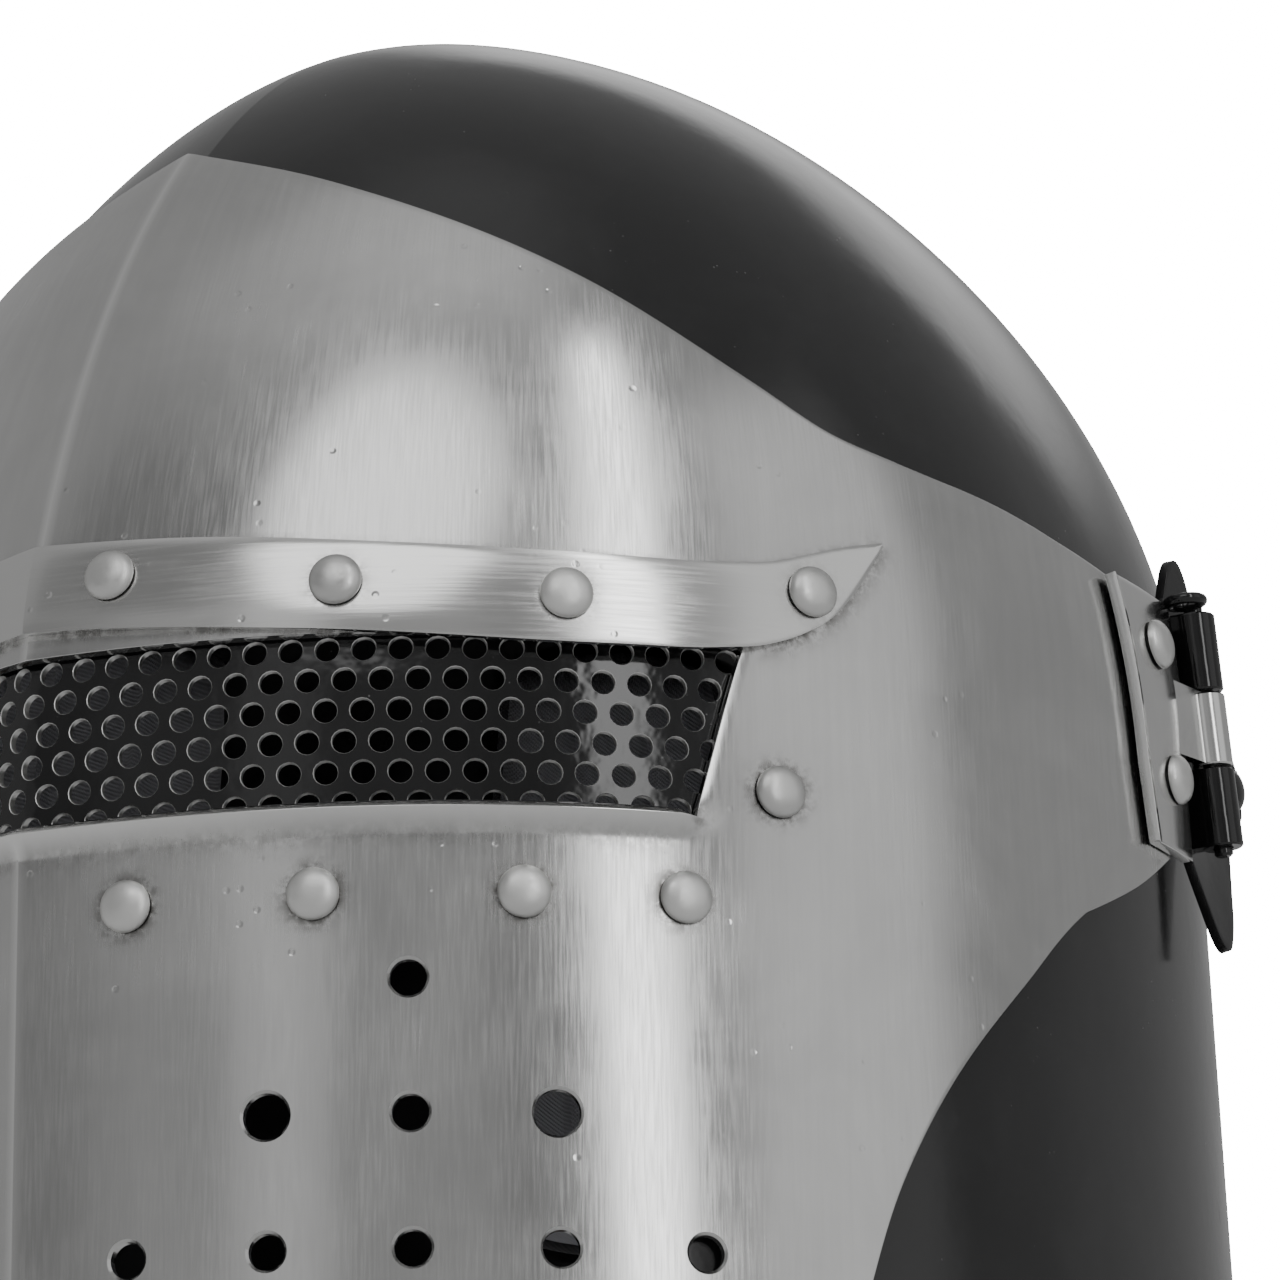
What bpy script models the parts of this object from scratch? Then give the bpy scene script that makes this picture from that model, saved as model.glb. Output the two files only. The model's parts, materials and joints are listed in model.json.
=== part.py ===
"""A knight's combat helmet: a one-piece black skull with a lifting steel face mask, padded inside.

The mask carries a brow band, a perforated plate behind its eye slot and a hinge leaf on each side.
Each leaf is pinned to a black arm, and both arms turn on pivot bolts through the skull. X points to
the wearer's left, -Y is the way the wearer faces, and the skull's rim stands on Z = 0.
"""

import math

import bmesh
import bpy
import numpy as np
from mathutils import Matrix, Vector

# Sizes in metres, unless a name says degrees.
SHEET = 0.0020
FIT_GAP = 0.0003
# Cutters are this long, reach this far past what they cut, and go this deep through a sheet.
CUT_REACH = 0.20
CUT_PAST = 0.020
CUT_DEPTH = 0.008

# Skull: half sizes on the plane of the eyes, from the line where it is widest.
EYE_HEIGHT = 0.150
CROWN_HEIGHT = 0.3046
SKULL_SIDE = 0.117
SKULL_FRONT = 0.1303
SKULL_BACK = 0.138
FLARE_PER_METRE = 0.050
BACK_FLARE_SHARE = 0.6
KEEL_HEIGHT = 0.0055
KEEL_FADE = 0.034
DOME_START = EYE_HEIGHT + 0.010
# A profile narrows as (1 - t ** power) ** (1 / root), with t from 0 where it starts to 1 at the crown.
SIDE_PROFILE = (2.1, 1.76)
BACK_PROFILE = (2.7, 1.40)
FRONT_PROFILE = (1.6, 2.36)
BACK_SQUARENESS = 2.15
RIM_TRIM = 0.004
FACE_HALF_WIDTH = SKULL_SIDE - 0.010
CHIN_HALF_WIDTH = SKULL_SIDE - 0.029
FACE_ABOVE_EYES = 0.066
FACE_BELOW_EYES = 0.040
FACE_ARCH_START = 0.020
CHIN_TAPER = 0.055

# Face mask, measured from the eyes: its edges are (degrees round from the front, height) points.
MASK_GAP = 0.0016
MASK_PEAK = 0.1114
MASK_BOTTOM = -0.1460
WING_BOTTOM = -0.0040
WING_END_DEGREES = 102.6
MASK_TOP_EDGE = ((0, 0.1114), (20, 0.0995), (44.7, 0.0777), (58, 0.0608), (64.5, 0.0533), (71, 0.0500),
                 (82, 0.0470), (94, 0.0435), (WING_END_DEGREES, 0.0410))
MASK_CHEEK_EDGE = ((-0.1460, 60), (-0.1200, 61.5), (-0.0910, 64.7), (-0.0735, 68), (-0.0510, 75),
                   (-0.0370, 81.3), (-0.0224, 88.9), (-0.0113, 97.5), (WING_BOTTOM, WING_END_DEGREES))
SLOT_TOP = 0.0125
SLOT_BOTTOM = -0.0172
SLOT_END_TOP_DEGREES = 56.2
SLOT_END_BOTTOM_DEGREES = 52.0
LIP_HEIGHT = 0.0050
LIP_FLARE = 0.0022
BREATH_ROWS = ((-0.0450, 1), (-0.0670, 3), (-0.0890, 5), (-0.1110, 3), (-0.1330, 1))
BREATH_CENTRE_DEGREES = 30.4
BREATH_STEP_DEGREES = 10.6
BREATH_HOLE = 0.0060
CORNER_HOLE = 0.0076

# Brow band over the slot's upper edge.
BAND_THICKNESS = 0.0016
BAND_LOW_EDGE = ((0, 0.0165), (5.5, 0.0158), (22, 0.0130), (46, 0.0108), (54, 0.0116), (58.3, 0.0133),
                 (61, 0.0158), (63.5, 0.0195), (65.5, 0.0245), (68, 0.0325))
BAND_HIGH_EDGE = ((0, 0.0318), (13.5, 0.0300), (30, 0.0271), (42, 0.0260), (54, 0.0262), (58.5, 0.0274),
                  (61.4, 0.0294), (64.2, 0.0314), (66.4, 0.0327), (68, 0.0335))

# Perforated plate behind the slot.
GRILLE_THICKNESS = 0.0012
GRILLE_HOLE = 0.0040
GRILLE_PITCH = 0.0060
GRILLE_ROWS = 6
GRILLE_EDGE = ((0, 0.0300), (55.0, 0.0300), (61.2, 0.0120), (61.2, -0.0200), (54.5, -0.0370), (0, -0.0370))

# Rivets: (degrees, height from the eyes) of one side.
BROW_RIVETS = ((6.9, 0.0244), (25.0, 0.0206), (42.2, 0.0185), (61.4, 0.0226))
LOWER_RIVETS = ((9.0, -0.0310), (23.5, -0.0310), (39.0, -0.0310), (51.0, -0.0308))
SIDE_RIVET = (58.8, -0.0116)
RIVET_HEAD = 0.0088
RIVET_HEAD_HEIGHT = 0.0024
RIVET_SHANK = 0.0040
RIVET_TAIL = 0.0010

# Side hinges: a leaf on the mask, knuckles, and a ring-headed pin that lifts out.
HINGE_CENTRE = Vector((SKULL_SIDE + 0.0025, 0.0424, EYE_HEIGHT + 0.0215))
HINGE_SLOPE = Vector((-0.070, -0.075, 1.0))
LEAF_THICKNESS = 0.0020
LEAF_FRONT_EDGE = ((-0.0038, 98.2), (0.0420, 95.2))
LEAF_BACK_DEGREES = 104.6
LEAF_RIVETS = ((100.6, 0.0325), (102.2, 0.0095))
KNUCKLE_RADIUS = 0.0036
MASK_KNUCKLE = 0.0130
ARM_KNUCKLE = 0.0140
KNUCKLE_GAP = 0.0006
LEAF_ROOT_DEGREES = 1.5
PIN_RADIUS = 0.00165
PIN_CLEARANCE = 0.0002
PIN_BELOW = 0.0015
PIN_NECK = 0.0022
PIN_RING_RADIUS = 0.0030
PIN_RING_WIRE = 0.0010
PIN_RING_FORWARD = 0.0026

# Arms and their pivots. An arm's outline is (distance behind the hinge, height from its centre).
PIVOT = Vector((0.0, 0.0550, EYE_HEIGHT + 0.0140))
MASK_LIFT_DEGREES = 80
ARM_THICKNESS = 0.0018
ARM_STAND_OFF = 0.0010
ARM_FLAT_RADIUS = 0.0090
ARM_FLAT_STAND_OFF = 0.0012
ARM_TOP = ((-0.0025, 0.0240), (0.0, 0.0305), (0.0025, 0.0325), (0.0055, 0.0300), (0.0085, 0.0225),
           (0.0120, 0.0130), (0.0155, 0.0060), (0.0185, 0.0010), (0.0210, -0.0040))
ARM_BOTTOM = ((-0.0025, -0.0230), (0.0, -0.0290), (0.0030, -0.0360), (0.0060, -0.0375), (0.0090, -0.0330),
              (0.0120, -0.0255), (0.0155, -0.0180), (0.0185, -0.0140), (0.0210, -0.0100))
BOLT_RADIUS = 0.0025
BOLT_CLEARANCE = 0.0002
BOLT_HEAD_RADIUS = 0.0065
BOLT_HEAD_HEIGHT = 0.0022
SEAT_RADIUS = 0.0068
SEAT_LENGTH = 0.0200
INNER_SEAT_DEPTH = 0.0110
NUT_RADIUS = 0.0048
NUT_HEIGHT = 0.0034
NUT_THREAD = 0.0022
WASHER_RADIUS = 0.0068
WASHER_THICKNESS = 0.0008

# Padding stuck inside the skull: (name, degrees from, degrees to, low, high) from the eyes.
PAD_THICKNESS = 0.016
PAD_GAP = 0.0025
PADS = (("brow_pad", -36, 36, 0.074, 0.112),
        ("temple_pad_left", 68, 108, -0.006, 0.074),
        ("temple_pad_right", -108, -68, -0.006, 0.074),
        ("rear_pad_left", 138, 164, -0.040, 0.080),
        ("rear_pad_right", -164, -138, -0.040, 0.080),
        ("nape_pad", 168, 192, -0.095, 0.080))
PAD_TAPER = 0.15
CROWN_PAD_RADIUS = 0.052

# Chin strap: anchored inside the cheeks, with its corners as (across, down) in a plane that leans forward.
STRAP_WIDTH = 0.020
STRAP_THICKNESS = 0.0024
STRAP_ANCHOR = (80.0, -0.024)
STRAP_LEAN_DEGREES = 25.0
STRAP_CORNERS = ((0.0, 0.016), (0.052, 0.092))
STRAP_BEND_RADIUS = 0.022
STRAP_END = 0.008
STRAP_CLEAR_OF_SKULL = 0.0050
STRAP_TAIL_LENGTH = 0.032
BUCKLE_AT = 0.072
BUCKLE_OPENING = 0.014
BUCKLE_WIRE = 0.0013
BUCKLE_SIDE_ROOM = 0.003
BUCKLE_CORNER = 0.003
LOOP_WALL = 0.0018
PRONG_WALL = 0.0012
PRONG_PAST_BAR = 0.0018
STRAP_RIVET_ROOM = 0.0012
STRAP_RIVET_HEIGHT = 0.0022
PRONG_WIDTH = 0.0028
PRONG_THICKNESS = 0.0016
PRONG_HOLE = (-0.0016, 0.0108)


# ---- the skull's surface

def through(points, value):
    """A smooth curve through (x, y) points, read at one x and held level past its ends."""
    xs, ys = (np.array(column, float) for column in zip(*points))
    if value <= xs[0] or value >= xs[-1]:
        return float(ys[0] if value <= xs[0] else ys[-1])
    slopes = np.gradient(ys, xs)
    i = int(np.searchsorted(xs, value)) - 1
    span = xs[i + 1] - xs[i]
    t = (value - xs[i]) / span
    return float(ys[i] * (2 * t**3 - 3 * t**2 + 1) + ys[i + 1] * (3 * t**2 - 2 * t**3)
                 + span * (slopes[i] * (t**3 - 2 * t**2 + t) + slopes[i + 1] * (t**3 - t**2)))


def share(z, start, profile):
    """How much of a half size is left at this height."""
    power, root = profile
    t = min(max((z - start) / (CROWN_HEIGHT - start), 0.0), 1.0)
    return (1 - t**power) ** (1 / root)


def widest_line():
    """The y of the skull's widest section, which centres the whole helmet on the origin."""
    back = SKULL_BACK + BACK_FLARE_SHARE * FLARE_PER_METRE * DOME_START
    return (SKULL_FRONT + MASK_GAP + SHEET - back) / 2


def on_skull(degrees, z):
    """A point of the skull's outside, by its angle round from the front and its height."""
    angle = math.radians(degrees)
    side_share = share(z, DOME_START, SIDE_PROFILE)
    flare = FLARE_PER_METRE * max(0.0, DOME_START - z)
    side = SKULL_SIDE * side_share + flare
    forward = math.cos(angle)
    across = abs(math.sin(angle))
    if forward >= 0:
        keel = KEEL_HEIGHT * side_share
        reach = SKULL_FRONT * share(z, EYE_HEIGHT, FRONT_PROFILE)
        x = side * across
        y = -(reach - keel) * forward - keel * math.exp(-x / KEEL_FADE) * forward
    else:
        reach = SKULL_BACK * share(z, DOME_START, BACK_PROFILE) + BACK_FLARE_SHARE * flare
        x = side * across ** (2 / BACK_SQUARENESS)
        y = reach * (-forward) ** (2 / BACK_SQUARENESS)
    return Vector((math.copysign(x, math.sin(angle)), widest_line() + y, z))


def outward(degrees, z):
    """The skull's outward normal there."""
    step = 0.0008
    z = min(z, CROWN_HEIGHT - 3 * step)
    around = on_skull(degrees + 1.0, z) - on_skull(degrees - 1.0, z)
    up = on_skull(degrees, z + step) - on_skull(degrees, z - step)
    return around.cross(up).normalized()


def off_skull(degrees, z, out):
    """A point that stands out metres off the skull's outside."""
    return on_skull(degrees, z) + outward(degrees, z) * float(out)


# ---- meshes

def new_object(name, mesh):
    made = bpy.data.objects.new(name, mesh)
    bpy.context.scene.collection.objects.link(made)
    return made


def object_from(name, vertices, faces):
    mesh = bpy.data.meshes.new(name)
    mesh.from_pydata([tuple(v) for v in vertices], [], faces)
    work = bmesh.new()
    work.from_mesh(mesh)
    bmesh.ops.remove_doubles(work, verts=work.verts, dist=1e-6)
    work.to_mesh(mesh)
    work.free()
    return new_object(name, mesh)


def sheet(name, rows, thickness):
    """A grid of points, lowest row first and angle rising along each, thickened inwards."""
    width = len(rows[0])
    faces = [(k * width + j, k * width + j + 1, (k + 1) * width + j + 1, (k + 1) * width + j)
             for k in range(len(rows) - 1) for j in range(width - 1)]
    made = object_from(name, [p for row in rows for p in row], faces)
    solid = made.modifiers.new("thickness", "SOLIDIFY")
    solid.thickness = thickness
    solid.offset = -1
    solid.use_even_offset = True
    return made


def closed_block(name, rows_near, rows_far):
    """A closed body between two grids of the same layout: rows_near inside, rows_far outside."""
    height, width = len(rows_far), len(rows_far[0])
    count = height * width
    faces = []
    for k in range(height - 1):
        for j in range(width - 1):
            quad = (k * width + j, k * width + j + 1, (k + 1) * width + j + 1, (k + 1) * width + j)
            faces += [quad, tuple(count + i for i in reversed(quad))]
    ring = [j for j in range(width)] + [k * width + width - 1 for k in range(1, height)]
    ring += [(height - 1) * width + j for j in range(width - 2, -1, -1)]
    ring += [k * width for k in range(height - 2, 0, -1)]
    for a, b in zip(ring, ring[1:] + ring[:1]):
        faces.append((b, a, count + a, count + b))
    return object_from(name, [p for row in rows_far for p in row] + [p for row in rows_near for p in row],
                       faces)


def turned(name, profile, sides, place):
    """A turned piece: (radius, height) points up its axis, placed by a matrix."""
    vertices = []
    for radius, height in profile:
        for i in range(sides):
            turn = 2 * math.pi * i / sides
            vertices.append(place @ Vector((radius * math.cos(turn), radius * math.sin(turn), height)))
    faces = []
    for k in range(len(profile) - 1):
        for i in range(sides):
            j = (i + 1) % sides
            faces.append((k * sides + i, k * sides + j, (k + 1) * sides + j, (k + 1) * sides + i))
    if profile[0][0] > 0:
        faces.append(tuple(range(sides - 1, -1, -1)))
    if profile[-1][0] > 0:
        faces.append(tuple(range((len(profile) - 1) * sides, len(profile) * sides)))
    return object_from(name, vertices, faces)


def ring_piece(name, ring_radius, wire, place, around=14, section=6):
    """A closed round ring in its frame's XY plane."""
    vertices = []
    for i in range(around):
        turn = 2 * math.pi * i / around
        for k in range(section):
            tilt = 2 * math.pi * k / section
            reach = ring_radius + wire * math.cos(tilt)
            vertices.append(place @ Vector((reach * math.cos(turn), reach * math.sin(turn),
                                            wire * math.sin(tilt))))
    faces = [(i * section + k, ((i + 1) % around) * section + k,
              ((i + 1) % around) * section + (k + 1) % section, i * section + (k + 1) % section)
             for i in range(around) for k in range(section)]
    return object_from(name, vertices, faces)


def frame_at(origin, up, front=Vector((0, -1, 0))):
    """A matrix whose Z runs along up and whose X leans towards front."""
    z = up.normalized()
    x = (front - z * front.dot(z)).normalized()
    y = z.cross(x)
    return Matrix.Translation(origin) @ Matrix((x, y, z)).transposed().to_4x4()


def tool(made):
    """Marks a cutter or a piece that is joined into another: it is no part of the object."""
    made.hide_render = True
    made.display_type = "WIRE"
    return made


def boolean(made, other, operation):
    step = made.modifiers.new(other.name, "BOOLEAN")
    step.operation = operation
    step.object = tool(other)
    step.solver = "EXACT"


def baked(made):
    """Applies the modifiers, so that the mesh can be mirrored or joined."""
    bpy.context.view_layer.update()
    shape = bpy.data.meshes.new_from_object(made.evaluated_get(bpy.context.evaluated_depsgraph_get()))
    made.modifiers.clear()
    made.data = shape
    return made


def opposite(made, name):
    """The same piece for the other side of the helmet."""
    mesh = baked(made).data.copy()
    mesh.transform(Matrix.Diagonal((-1, 1, 1, 1)))
    mesh.flip_normals()
    return new_object(name, mesh)


def joined(name, pieces):
    """Separate closed bodies in one mesh, for use as a cutter."""
    work = bmesh.new()
    for piece in pieces:
        work.from_mesh(piece.data)
        bpy.data.objects.remove(piece)
    mesh = bpy.data.meshes.new(name)
    work.to_mesh(mesh)
    work.free()
    return new_object(name, mesh)


def finish(made, material, parent=None):
    made.data.materials.clear()
    made.data.materials.append(material)
    for polygon in made.data.polygons:
        polygon.material_index = 0
    made.data.shade_smooth()
    made.data.set_sharp_from_angle(angle=math.radians(32))
    if parent:
        made.parent = parent
        made.matrix_parent_inverse = parent.matrix_world.inverted()
    return made


def material(name, color, roughness, metallic):
    made = bpy.data.materials.new(name)
    made.use_nodes = True
    shader = made.node_tree.nodes["Principled BSDF"]
    shader.inputs["Base Color"].default_value = (*color, 1)
    shader.inputs["Roughness"].default_value = roughness
    shader.inputs["Metallic"].default_value = metallic
    return made


# ---- the skull

def dome_rows(low, out, columns, steps, lower_steps):
    """Rings of the whole dome from low up to just under the crown."""
    heights = list(np.linspace(low, DOME_START, lower_steps + 1))[:-1]
    rise = CROWN_HEIGHT - DOME_START
    heights += [DOME_START + rise * math.sin(math.pi / 2 * i / steps) for i in range(steps)]
    angles = [-180 + 360 * i / columns for i in range(columns)]
    return [[off_skull(a, z, out) for a in angles] for z in heights]


def dome(name, low, out, columns=36, steps=10, lower_steps=2, floor=False):
    rows = dome_rows(low, out, columns, steps, lower_steps)
    width = columns
    vertices = [p for row in rows for p in row] + [Vector((0, widest_line(), CROWN_HEIGHT + out))]
    faces = [(k * width + j, k * width + (j + 1) % width,
              (k + 1) * width + (j + 1) % width, (k + 1) * width + j)
             for k in range(len(rows) - 1) for j in range(width)]
    last = (len(rows) - 1) * width
    faces += [(last + j, last + (j + 1) % width, len(vertices) - 1) for j in range(width)]
    if floor:
        faces.append(tuple(range(width - 1, -1, -1)))
    return object_from(name, vertices, faces)


def face_cutter():
    """The open face: an arch over the eyes, wide beside them and narrower down the cheeks."""
    eye = EYE_HEIGHT
    arch = [(FACE_HALF_WIDTH * math.sin(t),
             eye + FACE_ARCH_START + (FACE_ABOVE_EYES - FACE_ARCH_START) * math.cos(t))
            for t in np.linspace(0, math.pi / 2, 9)]
    outline = [(CHIN_HALF_WIDTH, -CUT_PAST), (CHIN_HALF_WIDTH, eye - FACE_BELOW_EYES - CHIN_TAPER),
               (FACE_HALF_WIDTH, eye - FACE_BELOW_EYES)] + arch[::-1]
    outline += [(-x, z) for x, z in outline[-2::-1]]
    near = [Vector((x, -CUT_REACH, z)) for x, z in outline]
    far = [Vector((x, widest_line() - CUT_PAST, z)) for x, z in outline]
    count = len(outline)
    faces = [tuple(range(count)), tuple(range(2 * count - 1, count - 1, -1))]
    faces += [((i + 1) % count, i, count + i, count + (i + 1) % count) for i in range(count)]
    return object_from("face_cutter", near + far, faces)


def rod(name, centre, direction, radius, before, after, sides=12):
    """A plain cylinder along a direction, from before metres behind its centre to after metres past it."""
    return turned(name, [(radius, -before), (radius, after)], sides, frame_at(centre, direction))


def pivot_rod(name, radius, side=1):
    return rod(name, PIVOT, Vector((side, 0, 0)), radius, 0.0, CUT_REACH, 16)


def skull_shell(black):
    skull = dome("skull_shell", -RIM_TRIM, 0.0)
    solid = skull.modifiers.new("thickness", "SOLIDIFY")
    solid.thickness = SHEET
    solid.offset = -1
    solid.use_even_offset = True
    reach = CUT_REACH
    below_rim = block("rim_cutter", (-reach, -reach, -CUT_PAST), (reach, reach, 0.0), Matrix())
    boolean(skull, below_rim, "DIFFERENCE")
    boolean(skull, face_cutter(), "DIFFERENCE")
    holes = [pivot_rod("hole", BOLT_RADIUS + FIT_GAP, side) for side in (1, -1)]
    holes += [rod("hole", off_skull(side * STRAP_ANCHOR[0], EYE_HEIGHT + STRAP_ANCHOR[1], 0),
                  outward(side * STRAP_ANCHOR[0], EYE_HEIGHT + STRAP_ANCHOR[1]),
                  RIVET_SHANK / 2 + FIT_GAP, CUT_DEPTH, CUT_DEPTH) for side in (1, -1)]
    boolean(skull, joined("skull_holes", holes), "DIFFERENCE")
    return finish(skull, black)


# ---- the face mask

def rivet_places():
    """(name, degrees, height, thickness of what lies under the head) of every rivet on the mask."""
    places = []
    rows = (("brow_rivet", BROW_RIVETS, FIT_GAP + BAND_THICKNESS), ("lower_rivet", LOWER_RIVETS, 0.0))
    for name, row, raised in rows:
        ordered = [(-a, z) for a, z in row[::-1]] + list(row)
        places += [(f"{name}_{i + 1}", a, EYE_HEIGHT + z, raised) for i, (a, z) in enumerate(ordered)]
    a, z = SIDE_RIVET
    places += [("side_rivet_left", a, EYE_HEIGHT + z, 0.0), ("side_rivet_right", -a, EYE_HEIGHT + z, 0.0)]
    return places


def holes_through_mask(places, radius, name):
    holes = [rod("hole", off_skull(a, z, MASK_GAP), outward(a, z), radius, CUT_DEPTH, CUT_DEPTH, 8)
             for _, a, z, _ in places]
    return joined(name, holes)


def breath_places():
    """(degrees, height, diameter) of the breath holes on one side, a diamond of rows."""
    places = []
    for height, count in BREATH_ROWS:
        for i in range(count):
            a = BREATH_CENTRE_DEGREES + BREATH_STEP_DEGREES * (i - (count - 1) / 2)
            corner = count == 3 and i != 1
            places.append((a, EYE_HEIGHT + height, CORNER_HOLE if corner else BREATH_HOLE))
    return places


def slot_end(height):
    """The angle at which the slot ends at this height from the eyes."""
    t = (height - SLOT_BOTTOM) / (SLOT_TOP - SLOT_BOTTOM)
    return SLOT_END_BOTTOM_DEGREES + t * (SLOT_END_TOP_DEGREES - SLOT_END_BOTTOM_DEGREES)


def slot_cutter():
    """A block through the mask with the eye slot's slanted ends."""
    heights = np.linspace(SLOT_BOTTOM, SLOT_TOP, 4)
    across = np.linspace(-1, 1, 21)
    grids = []
    for out in (-CUT_DEPTH, CUT_DEPTH):
        rows = []
        for z in heights:
            rows.append([off_skull(s * slot_end(z), EYE_HEIGHT + z, out) for s in across])
        grids.append(rows)
    return closed_block("slot_cutter", *grids)


def lip(degrees, z):
    """How far the mask's sheet swells outwards below the slot."""
    fade = min(max((SLOT_END_BOTTOM_DEGREES + 2 - abs(degrees)) / 3, 0), 1)
    below = min(max(1 - (EYE_HEIGHT + SLOT_BOTTOM - z) / LIP_HEIGHT, 0), 1)
    above = min(max(1 - (z - EYE_HEIGHT - SLOT_BOTTOM) / LIP_HEIGHT, 0), 1)
    return LIP_FLARE * fade * min(below, above)


def mask_heights():
    """Heights of the mask's rows from the eyes, with one at each edge of the slot and of its lip."""
    keys = (MASK_BOTTOM, SLOT_BOTTOM - LIP_HEIGHT, SLOT_BOTTOM, SLOT_BOTTOM + LIP_HEIGHT, SLOT_TOP,
            MASK_PEAK)
    steps = (7, 1, 1, 1, 6)
    heights = [keys[0]]
    for low, high, count in zip(keys, keys[1:], steps):
        heights += list(np.linspace(low, high, count + 1))[1:]
    return heights


def mask_point(t, height, out):
    """A point of the mask, t from -1 to 1 across it."""
    if height < WING_BOTTOM:
        edge = through(MASK_CHEEK_EDGE, height)
    else:
        edge = WING_END_DEGREES
    a = t * edge
    z = EYE_HEIGHT + min(height, through(MASK_TOP_EDGE, abs(a)))
    return off_skull(a, z, out + lip(a, z))


def mask_plate(steel, axis, rivets):
    across = np.linspace(-1, 1, 35)
    heights = sorted(mask_heights() + [WING_BOTTOM])
    rows = [[mask_point(t, h, MASK_GAP + SHEET) for t in across] for h in heights]
    mask = sheet("mask_plate", rows, SHEET)
    boolean(mask, slot_cutter(), "DIFFERENCE")
    holes = [rod("hole", off_skull(side * a, z, MASK_GAP), outward(side * a, z), width / 2, CUT_DEPTH,
                CUT_DEPTH, 10)
             for a, z, width in breath_places() for side in (1, -1)]
    boolean(mask, joined("breath_cutter", holes), "DIFFERENCE")
    boolean(mask, rivets, "DIFFERENCE")
    return finish(mask, steel, axis)


def brow_band(steel, axis, rivets):
    low = MASK_GAP + SHEET + FIT_GAP
    end = BAND_LOW_EDGE[-1][0]
    rows = []
    for t in np.linspace(0, 1, 3):
        row = []
        for a in np.linspace(-end, end, 31):
            bottom = through(BAND_LOW_EDGE, abs(a))
            top = through(BAND_HIGH_EDGE, abs(a))
            row.append(off_skull(a, EYE_HEIGHT + bottom + t * (top - bottom), low + BAND_THICKNESS))
        rows.append(row)
    band = sheet("brow_band", rows, BAND_THICKNESS)
    boolean(band, rivets, "DIFFERENCE")
    return finish(band, steel, axis)


def arc_table():
    """Angles of one side, and the length round the skull from the front to each at eye height."""
    angles = np.linspace(0, 90, 91)
    points = [on_skull(a, EYE_HEIGHT) for a in angles]
    lengths = np.cumsum([0] + [(q - p).length for p, q in zip(points, points[1:])])
    return angles, lengths


def ring_of(work, points):
    """Adds a closed outline to a flat mesh."""
    vertices = [work.verts.new((u, v, 0)) for u, v in points]
    return [work.edges.new(pair) for pair in zip(vertices, vertices[1:] + vertices[:1])]


def eye_grille(black, axis, rivets):
    """A plate of staggered six-sided holes in a plain border, bent to the mask's inside."""
    angles, lengths = arc_table()
    corners = [(float(np.interp(a, angles, lengths)), v) for a, v in GRILLE_EDGE]
    corners += [(-u, v) for u, v in corners[-2:0:-1]]
    outline = []
    for (u, v), (u2, v2) in zip(corners, corners[1:] + corners[:1]):
        pieces = max(1, round(math.hypot(u2 - u, v2 - v) / GRILLE_PITCH / 2))
        outline += [(u + (u2 - u) * i / pieces, v + (v2 - v) * i / pieces) for i in range(pieces)]
    work = bmesh.new()
    edges = ring_of(work, outline)
    rise = GRILLE_PITCH * math.sqrt(3) / 2
    middle = (SLOT_TOP + SLOT_BOTTOM) / 2
    for row in range(GRILLE_ROWS):
        v = middle + (row - (GRILLE_ROWS - 1) / 2) * rise
        first = GRILLE_PITCH / 2 * (row % 2)
        end = float(np.interp(slot_end(v), angles, lengths))
        for u in np.arange(first, end + GRILLE_PITCH / 2, GRILLE_PITCH):
            for centre in {u, -u}:
                hexagon = [(centre + GRILLE_HOLE / 2 * math.cos(math.radians(60 * i + 30)),
                            v + GRILLE_HOLE / 2 * math.sin(math.radians(60 * i + 30))) for i in range(6)]
                edges += ring_of(work, hexagon)
    bmesh.ops.triangle_fill(work, edges=edges, use_beauty=True, normal=(0, 0, 1))
    for vertex in work.verts:
        u, v, _ = vertex.co
        a = math.copysign(float(np.interp(abs(u), lengths, angles)), u)
        vertex.co = off_skull(a, EYE_HEIGHT + v, MASK_GAP - 2 * FIT_GAP)
    mesh = bpy.data.meshes.new("eye_grille")
    work.to_mesh(mesh)
    work.free()
    grille = new_object("eye_grille", mesh)
    solid = grille.modifiers.new("thickness", "SOLIDIFY")
    solid.thickness = GRILLE_THICKNESS
    solid.offset = -1
    boolean(grille, rivets, "DIFFERENCE")
    return finish(grille, black, axis)


def rivet(name, seat, tail_seat, spread, place, metal, parent):
    """A dome-headed rivet from its tail's seat to its head's, with the tail spread or left flush."""
    head, shank = RIVET_HEAD / 2, RIVET_SHANK / 2
    tail = [(shank * 1.5, tail_seat - RIVET_TAIL), (shank * 1.5, tail_seat)] if spread else []
    profile = tail + [(shank, tail_seat), (shank, seat), (head, seat),
                      (head * 0.80, seat + RIVET_HEAD_HEIGHT * 0.62), (0, seat + RIVET_HEAD_HEIGHT)]
    return finish(turned(name, profile, 10, place), metal, parent)


def surface_frame(degrees, z):
    """A frame on the skull's outside with Z along the normal."""
    return frame_at(on_skull(degrees, z), outward(degrees, z), Vector((0, 0, 1)))


def mask_rivets(metal, axis):
    for name, a, z, raised in rivet_places():
        under_grille = abs(a) < GRILLE_EDGE[2][0]
        seat = MASK_GAP + SHEET + raised + FIT_GAP
        tail_seat = MASK_GAP - 3 * FIT_GAP - (GRILLE_THICKNESS if under_grille else 0)
        rivet(name, seat, tail_seat, True, surface_frame(a, z), metal, axis)


# ---- the side hinges, built for the left side and mirrored

def hinge_axis():
    return HINGE_SLOPE.normalized()


def on_hinge(along):
    """A point of the hinge's axis, by its distance above the middle knuckle's centre."""
    return HINGE_CENTRE + hinge_axis() * along


def knuckle(name, low, high, radius=KNUCKLE_RADIUS):
    return rod(name, HINGE_CENTRE, hinge_axis(), radius, -low, high, 14)


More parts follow.
